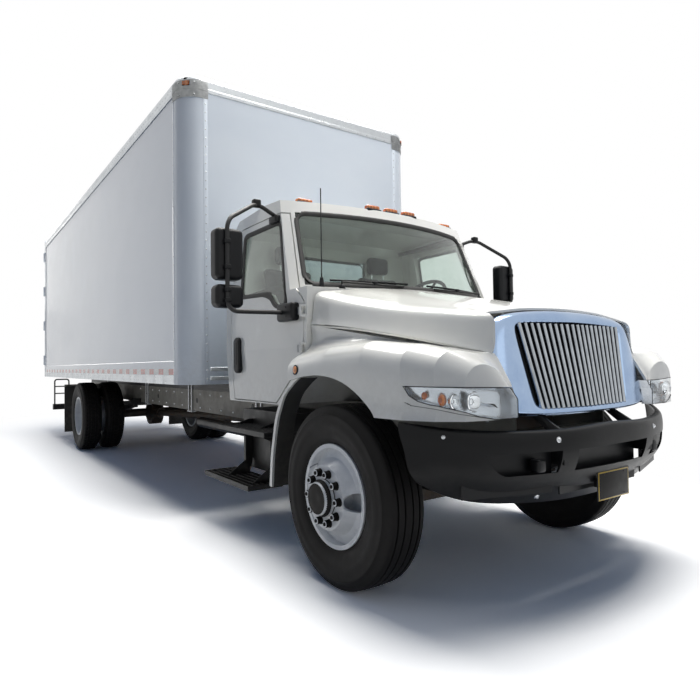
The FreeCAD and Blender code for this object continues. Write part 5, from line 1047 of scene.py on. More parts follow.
def makeLamps():
    bm = bmesh.new()
    bm.from_mesh(frame["nodes"]["lamps"].data)
    bmesh.ops.remove_doubles(bm, verts=bm.verts, dist=1e-5)
    edge = axleY + bodySizes["frame"]
    for face in bm.faces:
        face.material_index = 1 if face.calc_center_median().y > edge else 0
    bases, domes = bmesh.new(), bmesh.new()
    boxes = []
    seen = set()
    for start in list(bm.verts):
        if start in seen:
            continue
        group = [start]
        seen.add(start)
        for vert in group:
            for link in vert.link_edges:
                other = link.other_vert(vert)
                if other not in seen:
                    seen.add(other)
                    group.append(other)
        low, high = cornersOf([vert.co for vert in group])
        size = high - low
        if low.z > 2.3 and high.z < 2.6:
            addBox(bases, (low.x - 0.006, low.y - 0.006, low.z - 0.012),
                   (high.x + 0.006, high.y + 0.004, low.z + size.z * 0.28), 0.006, 3)
            addBox(domes, low, high, size.z * 0.42, 6)
            boxes += group
        elif low.y > edge:
            middle = (low + high) / 2
            turnedAbout(bases, [(0.0, size.x / 2 + 0.008), (size.y * 0.55, size.x / 2 + 0.008),
                        (size.y * 0.7, size.x / 2 + 0.002), (size.y * 0.7, size.x / 2 - 0.001)],
                        Vector((middle.x, low.y, middle.z)), alongAxis, 32)
        else:
            # the corner markers face half way between front and side
            turn = Matrix.Rotation(math.copysign(math.pi / 4, low.x) - math.pi / 2, 3, "Z")
            low, high = cornersOf([turn.inverted() @ vert.co for vert in group])
            before = set(bases.verts)
            addBox(bases, (low.x, low.y - 0.006, low.z - 0.006),
                   (low.x + (high.x - low.x) * 0.45, high.y + 0.006, high.z + 0.006), 0.005, 3)
            bmesh.ops.rotate(bases, verts=[vert for vert in bases.verts if vert not in before],
                             cent=(0, 0, 0), matrix=turn)
    bmesh.ops.delete(bm, geom=boxes, context="VERTS")
    for shape, name in ((bm, "lampLenses"), (domes, "roofLampLenses")):
        lenses = newPiece(name, shape, ("amberLens", "redLens"), "truck", 40)
        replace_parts(lenses, "lamps")
    bmesh.ops.recalc_face_normals(bases, faces=bases.faces)
    newPiece("lampBases", bases, "satinBlackPlastic", "truck", 40)


for sign, side in sides:
    makeBodySide(sign, side)
    makeCornerCap(sign, side)
makeFrontWall()
makeRearDoors()
makeLamps()
print("freight body dressed")


# Grille: half-round upright slats in two halves that meet at a low ridge
grilleSizes = {"lowY": -0.898, "topY": -0.800, "lowUp": 0.985, "topUp": 1.545, "ridge": 0.034,
               "half": 0.655, "slats": 10, "wide": 0.021, "deep": 0.028, "openTop": 0.497,
               "openLow": 0.418, "openTopUp": 1.482, "openLowUp": 1.045, "back": 0.018,
               "screen": ((-0.52, 1.50), (-0.43, 1.03), (0.0, 1.03), (0.0, 1.50)),
               "screenBack": 0.052, "screenDeep": 0.004,
               # the arm down to the hood's pivot as (y, z) places, and the pivot's boss
               "arm": ((-0.982, 0.876), (-0.938, 0.876), (-0.794, 0.985), (-0.794, 1.051),
                       (-0.838, 1.051), (-0.849, 0.996), (-0.982, 0.920)), "armX": 0.3442,
               "armWide": 0.0156, "boss": ((0.0, 0.0), (0.0, 0.0118), (0.0878, 0.0118),
                                           (0.0878, 0.0)), "bossAt": (0.344, -0.960, 0.898)}


def leanY(x, z, back=0.0):
    # how far along the truck the raked face of the grille lies
    share = (z - grilleSizes["lowUp"]) / (grilleSizes["topUp"] - grilleSizes["lowUp"])
    ridge = grilleSizes["ridge"] * (1 - abs(x) / grilleSizes["half"])
    return grilleSizes["lowY"] + (grilleSizes["topY"] - grilleSizes["lowY"]) * share - ridge + back


def onFace(x, z, back=0.0):
    return spot(x, leanY(x, z, back), z)


def makeSlats():
    bm = bmesh.new()
    count = grilleSizes["slats"]
    for sign in (1, -1):
        for step in range(count):
            share = (step + 0.5) / count
            foot = onFace(sign * grilleSizes["openLow"] * share, grilleSizes["openLowUp"] - 0.012,
                          grilleSizes["back"])
            head = onFace(sign * grilleSizes["openTop"] * share, grilleSizes["openTopUp"] + 0.006,
                          grilleSizes["back"])
            way = (head - foot).normalized()
            out = (-alongAxis - way * way.dot(-alongAxis)).normalized()
            side = way.cross(out)
            side *= grilleSizes["wide"]
            out *= grilleSizes["deep"]
            turns = [math.pi * turn / 8 for turn in range(9)]
            points = [foot + side * math.cos(turn) / 2 + out * math.sin(turn) * 0.55
                      for turn in turns]
            points += [foot + side * share - out * 0.6 for share in (-0.36, 0.36)]
            addPrism(bm, points, way, (head - foot).length)
    # the slats' chrome is darkened as painted shade from the grille's dark
    slats = newPiece("grilleSlats", bm, "darkChromeSlats", "hood", 40)
    # black screen behind the slats
    bm = bmesh.new()
    for sign in (1, -1):
        addPrism(bm, [onFace(x * sign, z, grilleSizes["screenBack"])
                      for x, z in grilleSizes["screen"]], alongAxis, grilleSizes["screenDeep"])
    screen = newPiece("grilleScreen", bm, "satinBlackPlastic", "hood", 0)
    return slats, screen


def makeSurround():
    # bright surround that wraps back to the hood, flares at its foot and rolls in to the slats
    bm = bmesh.new()
    rows = [
        [(0, 1.573, 0.064), (0.32, 1.563, 0.064), (0.56, 1.540, 0.066), (0.648, 1.492, 0.070),
         (0.682, 1.350, 0.072), (0.690, 1.240, 0.066), (0.704, 1.150, 0.060), (0.704, 1.050, 0.060),
         (0.655, 1.006, 0.058), (0.40, 0.992, 0.052), (0, 0.990, 0.050)],
        [(0, 1.570, 0.022), (0.32, 1.562, 0.024), (0.56, 1.538, 0.030), (0.642, 1.490, 0.036),
         (0.668, 1.350, 0.034), (0.676, 1.240, 0.030), (0.692, 1.148, 0.026), (0.690, 1.055, 0.022),
         (0.645, 1.012, 0.016), (0.40, 0.996, 0.010), (0, 0.994, 0.008)],
        [(0, 1.538, 0.000), (0.32, 1.534, 0.002), (0.54, 1.514, 0.004), (0.598, 1.470, 0.006),
         (0.600, 1.350, 0.004), (0.600, 1.240, 0.002), (0.606, 1.140, 0.002), (0.590, 1.062, 0.0),
         (0.545, 1.026, 0.0), (0.38, 1.012, 0.0), (0, 1.010, 0.0)],
        [(0, 1.500, 0.002), (0.28, 1.494, 0.002), (0.480, 1.488, 0.004), (0.506, 1.470, 0.006),
         (0.489, 1.350, 0.006), (0.470, 1.240, 0.006), (0.452, 1.140, 0.006), (0.438, 1.062, 0.006),
         (0.420, 1.040, 0.004), (0.28, 1.036, 0.002), (0, 1.034, 0.002)],
        [(0, 1.494, 0.045), (0.28, 1.488, 0.045), (0.474, 1.482, 0.045), (0.500, 1.466, 0.045),
         (0.483, 1.350, 0.045), (0.464, 1.240, 0.045), (0.446, 1.140, 0.045), (0.432, 1.066, 0.045),
         (0.416, 1.046, 0.045), (0.28, 1.042, 0.045), (0, 1.040, 0.045)]]
    bridgedRings(bm, [[onFace(*place) for place in half]
                      + [onFace(-x, *rest) for x, *rest in half[-2:0:-1]] for half in rows])
    front = min(bm.faces, key=lambda face: face.calc_center_median().y)
    if front.normal.y > 0:
        bmesh.ops.reverse_faces(bm, faces=bm.faces)
    piece = newPiece("grilleSurround", bm, "satinSilverSurround", "hood", 60)
    smoothed(piece, 3)
    wall = piece.modifiers.new("wall", "SOLIDIFY")
    wall.thickness = 0.003
    wall.offset = -1
    return piece


def makeGrille():
    slats, screen = makeSlats()
    surround = makeSurround()
    # the arms down to the hood's pivot, as black steel
    arms = bmesh.new()
    x, y, z = grilleSizes["bossAt"]
    for sign in (1, -1):
        out = acrossAxis * sign
        addPrism(arms, [spot(sign * grilleSizes["armX"], *place) for place in grilleSizes["arm"]],
                 out, grilleSizes["armWide"], 0.0015)
        turnedAbout(arms, grilleSizes["boss"], spot(sign * x, y, z), out, 20)
    arms = newPiece("hoodArms", arms, "satinBlackSteel", "hood", 30)
    for piece in (slats, screen, surround, arms):
        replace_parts(piece, "grille")


# Headlamps: a clear lens over a bright bowl, with an amber turn lamp
lampSizes = {"deep": 0.058, "lens": 0.003, "rim": 0.0022,
             "drop": ((404.5, 389), (409, 396), (418, 401.6), (430, 405), (443, 407.5)),
             "core": (470, 398), "merge": 1e-5, "flat": 0.4, "lookWay": (0.45, -0.85, 0.1),
             "lookShare": 0.30, "shrink": 0.016,
             # where the photo shows each round, with its radius or its half width and height
             "cups": ((476, 402, 0.050), (457, 402, 0.036)), "cupBack": 0.030,
             "ambers": ((446, 400.5, 0.024, 0.029), (428, 396, 0.013, 0.018)),
             "amberBack": 0.024, "amberDeep": 0.016}


def boundaryLoops(bm):
    # the open rims of a surface, each as a list of places in order
    rest = {edge for edge in bm.edges if edge.is_boundary}
    loops = []
    while rest:
        edge = rest.pop()
        first, vert = edge.verts
        loop = [first.co.copy(), vert.co.copy()]
        while True:
            following = next((e for e in vert.link_edges if e in rest), None)
            if following is None:
                break
            rest.discard(following)
            vert = following.other_vert(vert)
            if vert == first:
                break
            loop.append(vert.co.copy())
        loops.append(loop)
    return loops


def thinned(points, gap):
    # the same line with places nearer than the gap left out
    kept = [points[0]]
    for point in points[1:]:
        if (point - kept[-1]).length > gap:
            kept.append(point)
    return kept


def makeHeadlamps():
    lens = bmesh.new()
    lens.from_mesh(frame["nodes"]["headlamps"].data)
    bmesh.ops.remove_doubles(lens, verts=lens.verts, dist=lampSizes["merge"])
    bmesh.ops.dissolve_limit(lens, angle_limit=math.radians(lampSizes["flat"]),
                             verts=lens.verts, edges=lens.edges)
    lens.normal_update()
    x, y, z = lampSizes["lookWay"]
    drop = []
    for face in lens.faces:
        way = Vector((math.copysign(x, face.calc_center_median().x), y, z)).normalized()
        if face.normal.dot(way) < lampSizes["lookShare"]:
            drop.append(face)
    bmesh.ops.delete(lens, geom=drop, context="FACES")
    # the lens ends in a point outboard; the block's corner under it is a painted filler
    tree = treeOf("headlamps")
    outline = [seenAt(u, v, tree)[0] for u, v in lampSizes["drop"]]
    middle = seenAt(*lampSizes["core"], tree)[0]
    cuts = []
    for sign in (1, -1):
        turned = [Vector((sign * abs(point.x), 0, point.z)) for point in outline]
        core = Vector((sign * abs(middle.x), 0, middle.z))
        for one, two in zip(turned, turned[1:]):
            flat = (two - one).cross(alongAxis).normalized()
            flat = flat if flat.dot(core - one) < 0 else -flat
            faces = [face for face in lens.faces if face.calc_center_median().x * sign > 0]
            geom = faces + list({item for face in faces for item in (*face.verts, *face.edges)})
            bmesh.ops.bisect_plane(lens, geom=geom, dist=1e-6, plane_co=one, plane_no=flat)
            cuts.append((sign, one, flat))
    for face in lens.faces:
        place = face.calc_center_median()
        face.material_index = int(any(place.x * sign > 0 and (place - one).dot(flat) > 0
                                      for sign, one, flat in cuts))
    filler = lens.copy()
    for shape, kept in ((lens, 0), (filler, 1)):
        bmesh.ops.delete(shape, context="FACES",
                         geom=[face for face in shape.faces if face.material_index != kept])
        for face in shape.faces:
            face.material_index = 0
    bmesh.ops.solidify(filler, geom=filler.faces, thickness=lampSizes["lens"])
    bmesh.ops.triangulate(lens, faces=lens.faces)
    bowls = lens.copy()
    rims = bmesh.new()
    for loop in boundaryLoops(lens):
        line = thinned(loop, 0.006)
        if len(line) > 8:
            sign = 1 if line[0].x > 0 else -1
            addTube(rims, [point + Vector((sign * 0.0005, -0.0005, 0)) for point in line],
                    lampSizes["rim"], 8, closed=True)
    bmesh.ops.solidify(lens, geom=lens.faces, thickness=lampSizes["lens"])
    pieces = [newPiece("headlampLenses", lens, "clearLens", "hood", 30),
              newPiece("headlampFillers", filler, "glossWhiteCabPaint", "hood", 30),
              newPiece("headlampRims", rims, "satinBlackPlastic", "hood", 40)]
    # the bowl: the lens outline drawn back, open towards the lens
    front = list(bowls.faces)
    made = bmesh.ops.extrude_face_region(bowls, geom=front)["geom"]
    back = [item for item in made if isinstance(item, bmesh.types.BMVert)]
    for vert in back:
        vert.co += Vector((-math.copysign(lampSizes["shrink"], vert.co.x), lampSizes["deep"], 0))
    bmesh.ops.delete(bowls, geom=front, context="FACES_ONLY")
    pieces.append(newPiece("headlampBowls", bowls, "satinSilverReflector", "hood", 30))
    # reflectors and the amber turn lamp, set behind where the lens shows them
    cups, amber = bmesh.new(), bmesh.new()
    for u, v, radius in lampSizes["cups"]:
        place, _ = seenAt(u, v, tree)
        for sign in (1, -1):
            middle = Vector((abs(place.x) * sign, place.y + lampSizes["cupBack"], place.z))
            axis = Vector((-sign * 0.12, -1, 0)).normalized()
            turnedAbout(cups, [(0.016, radius), (0.018, radius - 0.003), (0.006, radius * 0.86),
                        (-0.008, radius * 0.62), (-0.015, radius * 0.36), (-0.002, radius * 0.34),
                        (0.005, radius * 0.30), (0.008, radius * 0.18), (0.009, 0.0)], middle,
                        axis, 36)
    for u, v, wide, tall in lampSizes["ambers"]:
        place, _ = seenAt(u, v, tree)
        for sign in (1, -1):
            middle = (abs(place.x) * sign, place.y + lampSizes["amberBack"], place.z)
            turn = Matrix.Translation(middle) @ \
                Matrix.Diagonal((wide, lampSizes["amberDeep"], tall, 1))
            bmesh.ops.create_uvsphere(amber, u_segments=24, v_segments=14, radius=1, matrix=turn)
    pieces.append(newPiece("headlampCups", cups, "brightChrome", "hood", 50))
    pieces.append(newPiece("turnLamps", amber, "amberLens", "hood", 60))
    for piece in pieces:
        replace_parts(piece, "headlamps")


# Bumper: bolts, a dark air guide behind the slots, and a blank plate in its holder
bumperSizes = {"bolts": ((0.467, 0.895, 0.015, 0.004, 16), (0.467, 0.590, 0.015, 0.004, 16),
                         (1.02, 0.93, 0.010, 0.004, 12)), "shank": (0.010, 0.007, 12),
               "guide": ((-0.368, -0.955), (0.368, -0.955), (0.368, -0.947), (-0.368, -0.947)),
               "wing": ((0.434, -0.955), (0.92, -0.800), (0.92, -0.792), (0.434, -0.947)),
               "plate": ((-0.11, 0.537), (0.19, 0.687)), "face": ((-0.103, 0.544), (0.183, 0.680)),
               "holder": ((-0.118, 0.5355), (0.198, 0.695)), "plateBolts": (-0.06, 0.14),
               "plateUps": (0.553, 0.671)}


def makeBumperFittings():
    tree = treeOf("front_bumper")
    bolts, guide, plate, holder = [bmesh.new() for _ in range(4)]
    for sign, _ in sides:
        for x, up, radius, high, around in bumperSizes["bolts"]:
            place, normal = skinAt(tree, spot(sign * x, -2.0, up), alongAxis)
            addStud(bolts, place, normal, radius, high, around)
            if x < 1:
                addStud(bolts, place + normal * 0.003, normal, *bumperSizes["shank"])
        addPrism(guide, [spot(sign * x, y, 0.62) for x, y in bumperSizes["wing"]], upAxis, 0.25)
        addBox(guide, spot(sign * 0.52, -0.99, 0.735), spot(sign * 0.58, -0.93, 0.80), 0.012, 3)
    addPrism(guide, [spot(x, y, 0.60) for x, y in bumperSizes["guide"]], upAxis, 0.262)
    newPiece("airGuide", guide, "satinBlackPlastic", "truck", 30)
    newPiece("bumperBolts", bolts, "zincPlatedSteel", "truck", 40)
    place, _ = skinAt(tree, spot(0.04, -2.0, 0.685), alongAxis)
    front = place.y - axleY - 0.003
    for shape, key, near, far, bevel, index in ((plate, "plate", -0.002, 0, 0.0009, 0),
                                                (plate, "face", -0.003, -0.001, 0.0009, 1),
                                                (holder, "holder", 0, 0.004, 0.0015, 0)):
        (left, low), (right, top) = bumperSizes[key]
        addBox(shape, spot(left, front + near, low), spot(right, front + far, top), bevel, 2, index)
    for x in bumperSizes["plateBolts"]:
        addBox(holder, spot(x - 0.012, front + 0.002, 0.60), spot(x + 0.012, front + 0.05, 0.64),
               0.002, 1)
        for up in bumperSizes["plateUps"]:
            addStud(holder, spot(x, front - 0.002, up), -alongAxis, 0.006, 0.003)
    newPiece("blankPlate", plate, ("yellowPlateEdge", "blackBlankPlate"), "truck", 30)
    newPiece("plateHolder", holder, "satinBlackPlastic", "truck", 30)


makeGrille()
makeHeadlamps()
makeBumperFittings()
print("front end made")


# Cab: black rubber round the glass
glassSizes = {"screen": [(-0.905, 1.838), (0.905, 1.838), (0.852, 2.402), (-0.852, 2.402)],
              "screenRound": 0.075, "rear": [(-0.43, 1.79), (0.43, 1.79), (0.43, 2.26),
                                             (-0.43, 2.26)],
              "door": [(0.690, 1.692), (0.860, 1.692), (0.960, 1.800), (1.430, 1.822),
                       (1.462, 2.330), (0.872, 2.330)], "doorRound": 0.05, "cut": 0.09}


def glassRing(corners, rounding, gap, tree, cast, proud):
    # a ring round a pane, dropped onto a surface and raised from it
    rim = heldIn(corners, gap)
    line = softLine([Vector((across, up, 0)) for across, up in rim], max(rounding - gap, 0.004),
                    closed=True, cut=glassSizes["cut"])
    ring = []
    for place in line:
        start, way = cast(place.x, place.y)
        hit, normal = skinAt(tree, start, way)
        ring.append(hit + normal * proud if hit else None)
    for at, place in enumerate(ring):
        if place is None:
            ring[at] = next(other for other in ring[at:] + ring if other is not None)
    return ring


def gasket(name, corners, rounding, pane, wall, cast, body, wide):
    rows = ((-0.013, wall, -0.001), (-0.012, wall, 0.003), (-0.006, wall, 0.0055),
            (0.004, pane, 0.0125), (wide - 0.004, pane, 0.0105), (wide, pane, 0.0035),
            (wide + 0.001, pane, -0.001))
    rings = [glassRing(corners, rounding, gap, tree, cast, proud) for gap, tree, proud in rows]
    shortest = min(len(ring) for ring in rings)
    bm = bmesh.new()
    bridgedRings(bm, [ring if len(ring) == shortest else evened(ring, shortest)
                      for ring in rings])
    newPiece(name, bm, "blackSheetRubber", body, 60)


def evened(ring, count):
    # the same closed ring with another number of places, evenly spread
    lengths = [0.0]
    for at in range(len(ring)):
        lengths.append(lengths[-1] + (ring[(at + 1) % len(ring)] - ring[at]).length)
    places = []
    at = 0
    for step in range(count):
        want = lengths[-1] * step / count
        while lengths[at + 1] < want:
            at += 1
        share = (want - lengths[at]) / max(lengths[at + 1] - lengths[at], 1e-9)
        places.append(ring[at].lerp(ring[(at + 1) % len(ring)], share))
    return places


def makeGaskets():
    shell = treeOf("cab_shell")
    screen = treeOf("cab_glass")
    gasket("windshieldGasket", glassSizes["screen"], glassSizes["screenRound"], screen, shell,
           lambda x, z: (spot(x, -2.0, z), alongAxis), "truck", 0.024)
    gasket("rearWindowGasket", glassSizes["rear"], 0.06, screen, shell,
           lambda x, z: (spot(x, 3.0, z), -alongAxis), "truck", 0.02)
    for sign, side in sides:
        gasket("doorGlassGasket_" + side, glassSizes["door"], glassSizes["doorRound"],
               treeOf("door_glass_" + side), treeOf("door_" + side),
               lambda y, z, sign=sign: (spot(sign * 2.0, y, z), -acrossAxis * sign),
               "cab_door_" + side, 0.022)


# Mirrors on a bent tube, with the tube's two feet
mirrorSizes = {"radius": 0.015, "bend": 0.07, "out": 1.412, "half": 0.1, "y": 0.735,
               "deep": 0.09, "low": 1.852, "tall": 0.342, "spotLow": 1.668, "spotTall": 0.152,
               "round": 0.038, "dome": 0.03, "rim": 0.009, "clamps": (1.71, 1.78, 1.93, 2.10),
               "tube": ((0.905, 0.935, 2.35), (1.14, 0.889, 2.436), (1.44, 0.724, 2.244),
                        (1.44, 0.724, 1.64), (0.965, 0.643, 1.64)),
               # along, up, thickness, reach ahead and back, half height, bevel and its segments
               "feet": ((0.935, 2.35, 0.038, 0.055, 0.055, 0.028, 0.011, 3),
                        (0.62, 1.64, 0.062, 0.105, 0.115, 0.062, 0.022, 4))}


def mirrorHead(bm, low, high):
    # a rounded housing, domed in front, with a rimmed hollow behind for the mirror glass
    before = set(bm.faces)
    edges = {edge for v in addCube(bm, low, high) for edge in v.link_edges}
    along = [e for e in edges if abs((e.verts[0].co - e.verts[1].co).normalized().y) > 0.9]
    rounded(bm, along, mirrorSizes["round"], 6)
    made = [face for face in bm.faces if face not in before]
    front = min(made, key=lambda face: face.calc_center_median().y)
    rounded(bm, list(front.edges), mirrorSizes["dome"], 5)
    made = [face for face in bm.faces if face not in before]
    back = max(made, key=lambda face: face.calc_center_median().y)
    bmesh.ops.inset_region(bm, faces=[back], thickness=mirrorSizes["rim"], depth=0)
    bmesh.ops.inset_region(bm, faces=[back], thickness=0.001, depth=-0.006)
    back.material_index = 1


def makeMirrors():
    outer, half, y = [mirrorSizes[key] for key in ("out", "half", "y")]
    for sign, side in sides:
        body = "cab_door_" + side
        out = acrossAxis * sign
        heads, tubes, feet = [bmesh.new() for _ in range(3)]
        for low, tall in ((mirrorSizes["low"], mirrorSizes["tall"]),
                          (mirrorSizes["spotLow"], mirrorSizes["spotTall"])):
            mirrorHead(heads, spot(sign * (outer - half), y, low),
                       spot(sign * (outer + half), y + mirrorSizes["deep"], low + tall))
        # ribbed clamps that hold the heads to the tube
        for up in mirrorSizes["clamps"]:
            addBox(heads, spot(sign * 1.44 - 0.022, 0.704, up - 0.016),
                   spot(sign * 1.44 + 0.022, 0.755, up + 0.016), 0.006)
        shells = newPiece("mirrorHeads_" + side, heads, ("satinBlackPlastic", "mirrorGlass"), body,
                          40)
        line = softLine([spot(sign * x, along, up) for x, along, up in mirrorSizes["tube"]],
                        mirrorSizes["bend"], segments=8)
        addTube(tubes, line, mirrorSizes["radius"], 14)
        arm = newPiece("mirrorArm_" + side, tubes, "satinBlackSteel", body, 40)
        # the elbow's cast clamp, the upper foot on the door frame and the lower foot's cover
        addBox(feet, spot(sign * 1.14 - 0.03, 0.865, 2.405),
               spot(sign * 1.14 + 0.03, 0.913, 2.462), 0.012, 3)
        door = treeOf("door_" + side)
        for along, up, thick, fore, aft, tall, bevel, segments in mirrorSizes["feet"]:
            place = skinAt(door, spot(sign * 2, along, up), -out)[0]
            addBox(feet, place - out * 0.004 - alongAxis * fore - upAxis * tall,
                   place + out * thick + alongAxis * aft + upAxis * tall, bevel, segments)
        for lift in (-0.032, 0.032):
            addStud(feet, place + out * thick - alongAxis * 0.02 + upAxis * lift, out, 0.009,
                    0.004)
        newPiece("mirrorFeet_" + side, feet, "satinBlackPlastic", body, 40)
        for piece in (shells, arm):
            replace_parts(piece, "mirror_" + side)


# Door handle: a black cover over the door's grip, with a paddle
handleSizes = {"x": 1.004, "y": 1.452, "top": 1.458, "low": 1.272, "round": 0.05, "deep": 0.0465,
               "edge": 0.014}


def makeHandles():
    for sign, side in sides:
        bm = bmesh.new()
        rim = []
        for turn in [math.pi * step / 12 for step in range(24)]:
            up = handleSizes["top"] if turn < math.pi else handleSizes["low"]
            rim.append(spot(sign * handleSizes["x"],
                            handleSizes["y"] + handleSizes["round"] * math.cos(turn),
                            up + handleSizes["round"] * math.sin(turn)))
        addPrism(bm, rim, acrossAxis * sign, handleSizes["deep"], handleSizes["edge"], 4)
        addBox(bm, spot(sign * 1.046, 1.432, 1.290), spot(sign * 1.0528, 1.472, 1.470), 0.003, 3)
        newPiece("doorHandle_" + side, bm, "satinBlackPlastic", "cab_door_" + side, 40)


# Steps: open treads in a folded rim, on the plate hangers
stepSizes = {"lower": (1.046, 1.872, 0.860, 1.150, 0.369, 0.407),
             "upper": (0.828, 1.667, 0.900, 1.130, 0.774, 0.812), "rim": 0.007, "pitch": 0.026,
             "bar": 0.0045, "rows": 6, "hangers": (1.130, 1.560),
             # the plates that carry the treads in the frame, as (x, z) places
             "hanger": ((0.8483, 0.530), (0.8483, 0.844), (0.883, 0.844), (1.070, 0.793),
                        (1.070, 0.774), (0.918, 0.704), (0.918, 0.509), (1.070, 0.407),
                        (1.070, 0.388), (0.883, 0.388))}


def makeSteps():
    rim, half = stepSizes["rim"], stepSizes["bar"] / 2
    for sign, side in sides:
        bm = bmesh.new()
        for y0, y1, x0, x1, z0, z1 in (stepSizes["lower"], stepSizes["upper"]):
            bars = [(x1 - rim, x1, y0, y1, z0, z1, 0.003), (x0, x0 + rim, y0, y1, z0, z1, 0.003),
                    (x0, x1, y0, y0 + rim, z0, z1, 0.003), (x0, x1, y1 - rim, y1, z0, z1, 0.003)]
            count = int((y1 - y0 - 2 * rim) / stepSizes["pitch"])
            for y in [y0 + (y1 - y0) * step / count for step in range(1, count)]:
                bars.append((x0 + 0.002, x1 - 0.002, y - half, y + half, z0 + 0.012, z1 - 0.006,
                             0.001))
            rows = stepSizes["rows"]
            for x in [x0 + (x1 - x0) * row / rows for row in range(1, rows)]:
                bars.append((x - 0.006, x + 0.006, y0 + 0.002, y1 - 0.002, z1 - 0.010, z1 - 0.002,
                             0.001))
            for inner, outer, near, far, low, high, bevel in bars:
                addBox(bm, spot(sign * inner, near, low), spot(sign * outer, far, high), bevel, 1)
        for y in stepSizes["hangers"]:
            addPrism(bm, [spot(sign * x, y, z) for x, z in stepSizes["hanger"]], alongAxis, 0.010,
                     0.0015)
        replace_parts(newPiece("cabSteps_" + side, bm, "satinBlackSteel", "truck", 30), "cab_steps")


# Black splash panel behind each front wheel, with a white folded edge
splashSizes = {"inner": 0.985, "outer": 1.112, "edge": 0.016, "thick": 0.004,
               "line": [(0.36, 1.196), (0.40, 1.180), (0.545, 1.086), (0.643, 0.915),
                        (0.705, 0.673), (0.728, 0.454)]}


def makeSplashPanels():
    for sign, side in sides:
        bm = bmesh.new()
        line = softLine([spot(0, y, z) for y, z in splashSizes["line"]], 0.05)
        rim = [bm.verts.new(place + acrossAxis * sign * splashSizes["inner"]) for place in line]
        rim = [bm.edges.new(pair) for pair in zip(rim, rim[1:])]
        wide = splashSizes["outer"] - splashSizes["inner"]
        # the panel, then its white edge, which folds back along the truck
        for index, way in enumerate((Vector((sign * wide, 0, 0)),
                                     Vector((sign * splashSizes["edge"], 0, 0)),
                                     Vector((0, 0.030, 0.006)))):
            before = set(bm.faces)
            made = bmesh.ops.extrude_edge_only(bm, edges=rim)["geom"]
            moved = [item for item in made if isinstance(item, bmesh.types.BMVert)]
            bmesh.ops.translate(bm, verts=moved, vec=way)
            rim = [item for item in made if isinstance(item, bmesh.types.BMEdge)
                   and all(v in moved for v in item.verts)]
            for face in bm.faces:
                if face not in before:
                    face.material_index = min(index, 1)
        bmesh.ops.recalc_face_normals(bm, faces=bm.faces)
        bmesh.ops.solidify(bm, geom=bm.faces, thickness=splashSizes["thick"])
        newPiece("splashPanel_" + side, bm, ("blackSheetRubber", "glossWhiteCabPaint"), "truck",
                 30)
        stay = bmesh.new()
        for y, z, deep in ((0.727, 0.60, 0.018), (0.700, 0.79, 0.020)):
            addBox(stay, spot(sign * 0.43, y, z), spot(sign * 1.09, y + deep, z + 0.025), 0.004)
        newPiece("splashStay_" + side, stay, "satinBlackSteel", "truck", 30)


# Small fittings: side markers on the fenders, wiper blades and spindles, the aerial's base
smallSizes = {"marker": (295.5, 370), "markerRadius": 0.026, "markerDeep": 0.014,
              "markerRim": ((0.0, 0.031), (0.004, 0.031), (0.006, 0.027), (0.006, 0.022)),
              "bladeStart": 0.74, "bladeEnd": 0.10, "bladeUp": 1.872, "bladeRadius": 0.0075,
              "shares": (0.02, 0.18, 0.36, 0.54, 0.72, 0.9, 1.0), "proud": 0.010,
              "spindle": ((0.0, 0.0), (0.0, 0.024), (0.022, 0.022), (0.034, 0.012),
                          (0.036, 0.0)),
              "aerial": ((0.0, 0.0), (0.0, 0.026), (0.012, 0.026), (0.03, 0.017),
                         (0.075, 0.012), (0.08, 0.006), (0.1, 0.0045), (0.1, 0.0))}


def makeSmallFittings():
    lamps, rims, blades = [bmesh.new() for _ in range(3)]
    place, normal = seenAt(*smallSizes["marker"], treeOf("fenders"))
    radius, deep = smallSizes["markerRadius"], smallSizes["markerDeep"]
    glass = treeOf("cab_glass")
    for sign, _ in sides:
        middle = Vector((abs(place.x) * sign, place.y, place.z))
        out = Vector((abs(normal.x) * sign, normal.y, normal.z))
        turn = Matrix.Translation(middle) @ out.to_track_quat("Z", "Y").to_matrix().to_4x4()
        bmesh.ops.create_uvsphere(lamps, u_segments=24, v_segments=12, radius=1,
                                  matrix=turn @ Matrix.Diagonal((radius, radius, deep, 1)))
        turnedAbout(rims, smallSizes["markerRim"], middle, out, 28)
        points = []
        for share in smallSizes["shares"]:
            x = smallSizes["bladeStart"] * (1 - share) + smallSizes["bladeEnd"] * share
            hit, lean = skinAt(glass, spot(sign * x, -1.0, smallSizes["bladeUp"]), alongAxis)
            points.append(hit + lean * smallSizes["proud"])
        addTube(blades, points, smallSizes["bladeRadius"], 8)
        turnedAbout(blades, smallSizes["spindle"], spot(sign * 0.70, 0.470, 1.80), upAxis, 20)
        addBox(blades, spot(sign * 0.42 - 0.016, 0.440, 1.846),
               spot(sign * 0.42 + 0.016, 0.470, 1.872), 0.005)
    turnedAbout(blades, smallSizes["aerial"], spot(-0.846, 0.505, 1.80), upAxis, 20)
    newPiece("sideMarkers", lamps, "amberLens", "hood", 60)
    newPiece("sideMarkerRims", rims, "satinBlackPlastic", "hood", 40)
    newPiece("wiperBlades", blades, "satinBlackPlastic", "truck", 40)


makeGaskets()
makeMirrors()
makeHandles()
makeSteps()
makeSplashPanels()
makeSmallFittings()
print("cab dressed")


# Hood: a white bead under each seam to the fender
hoodSizes = {"run": (0, 0.34, 0.63, 0.86, 1), "taper": (0, 0.15, 0.37, 0.63, 1),
             "drop": (0, 0.21, 0.5, 0.78, 1), "back": (0.992, 0.424, 1.545),
             "nose": (0.690, -0.800, 1.330), "bead": 0.0075}


def seamSpot(step, sign):
    # the hood's lower edge at one of its stations
    x, y, z = [back + (nose - back) * hoodSizes[key][step] for back, nose, key in zip(
        hoodSizes["back"], hoodSizes["nose"], ("taper", "run", "drop"))]
    return spot(sign * (x - 0.010), y, z - 0.006)


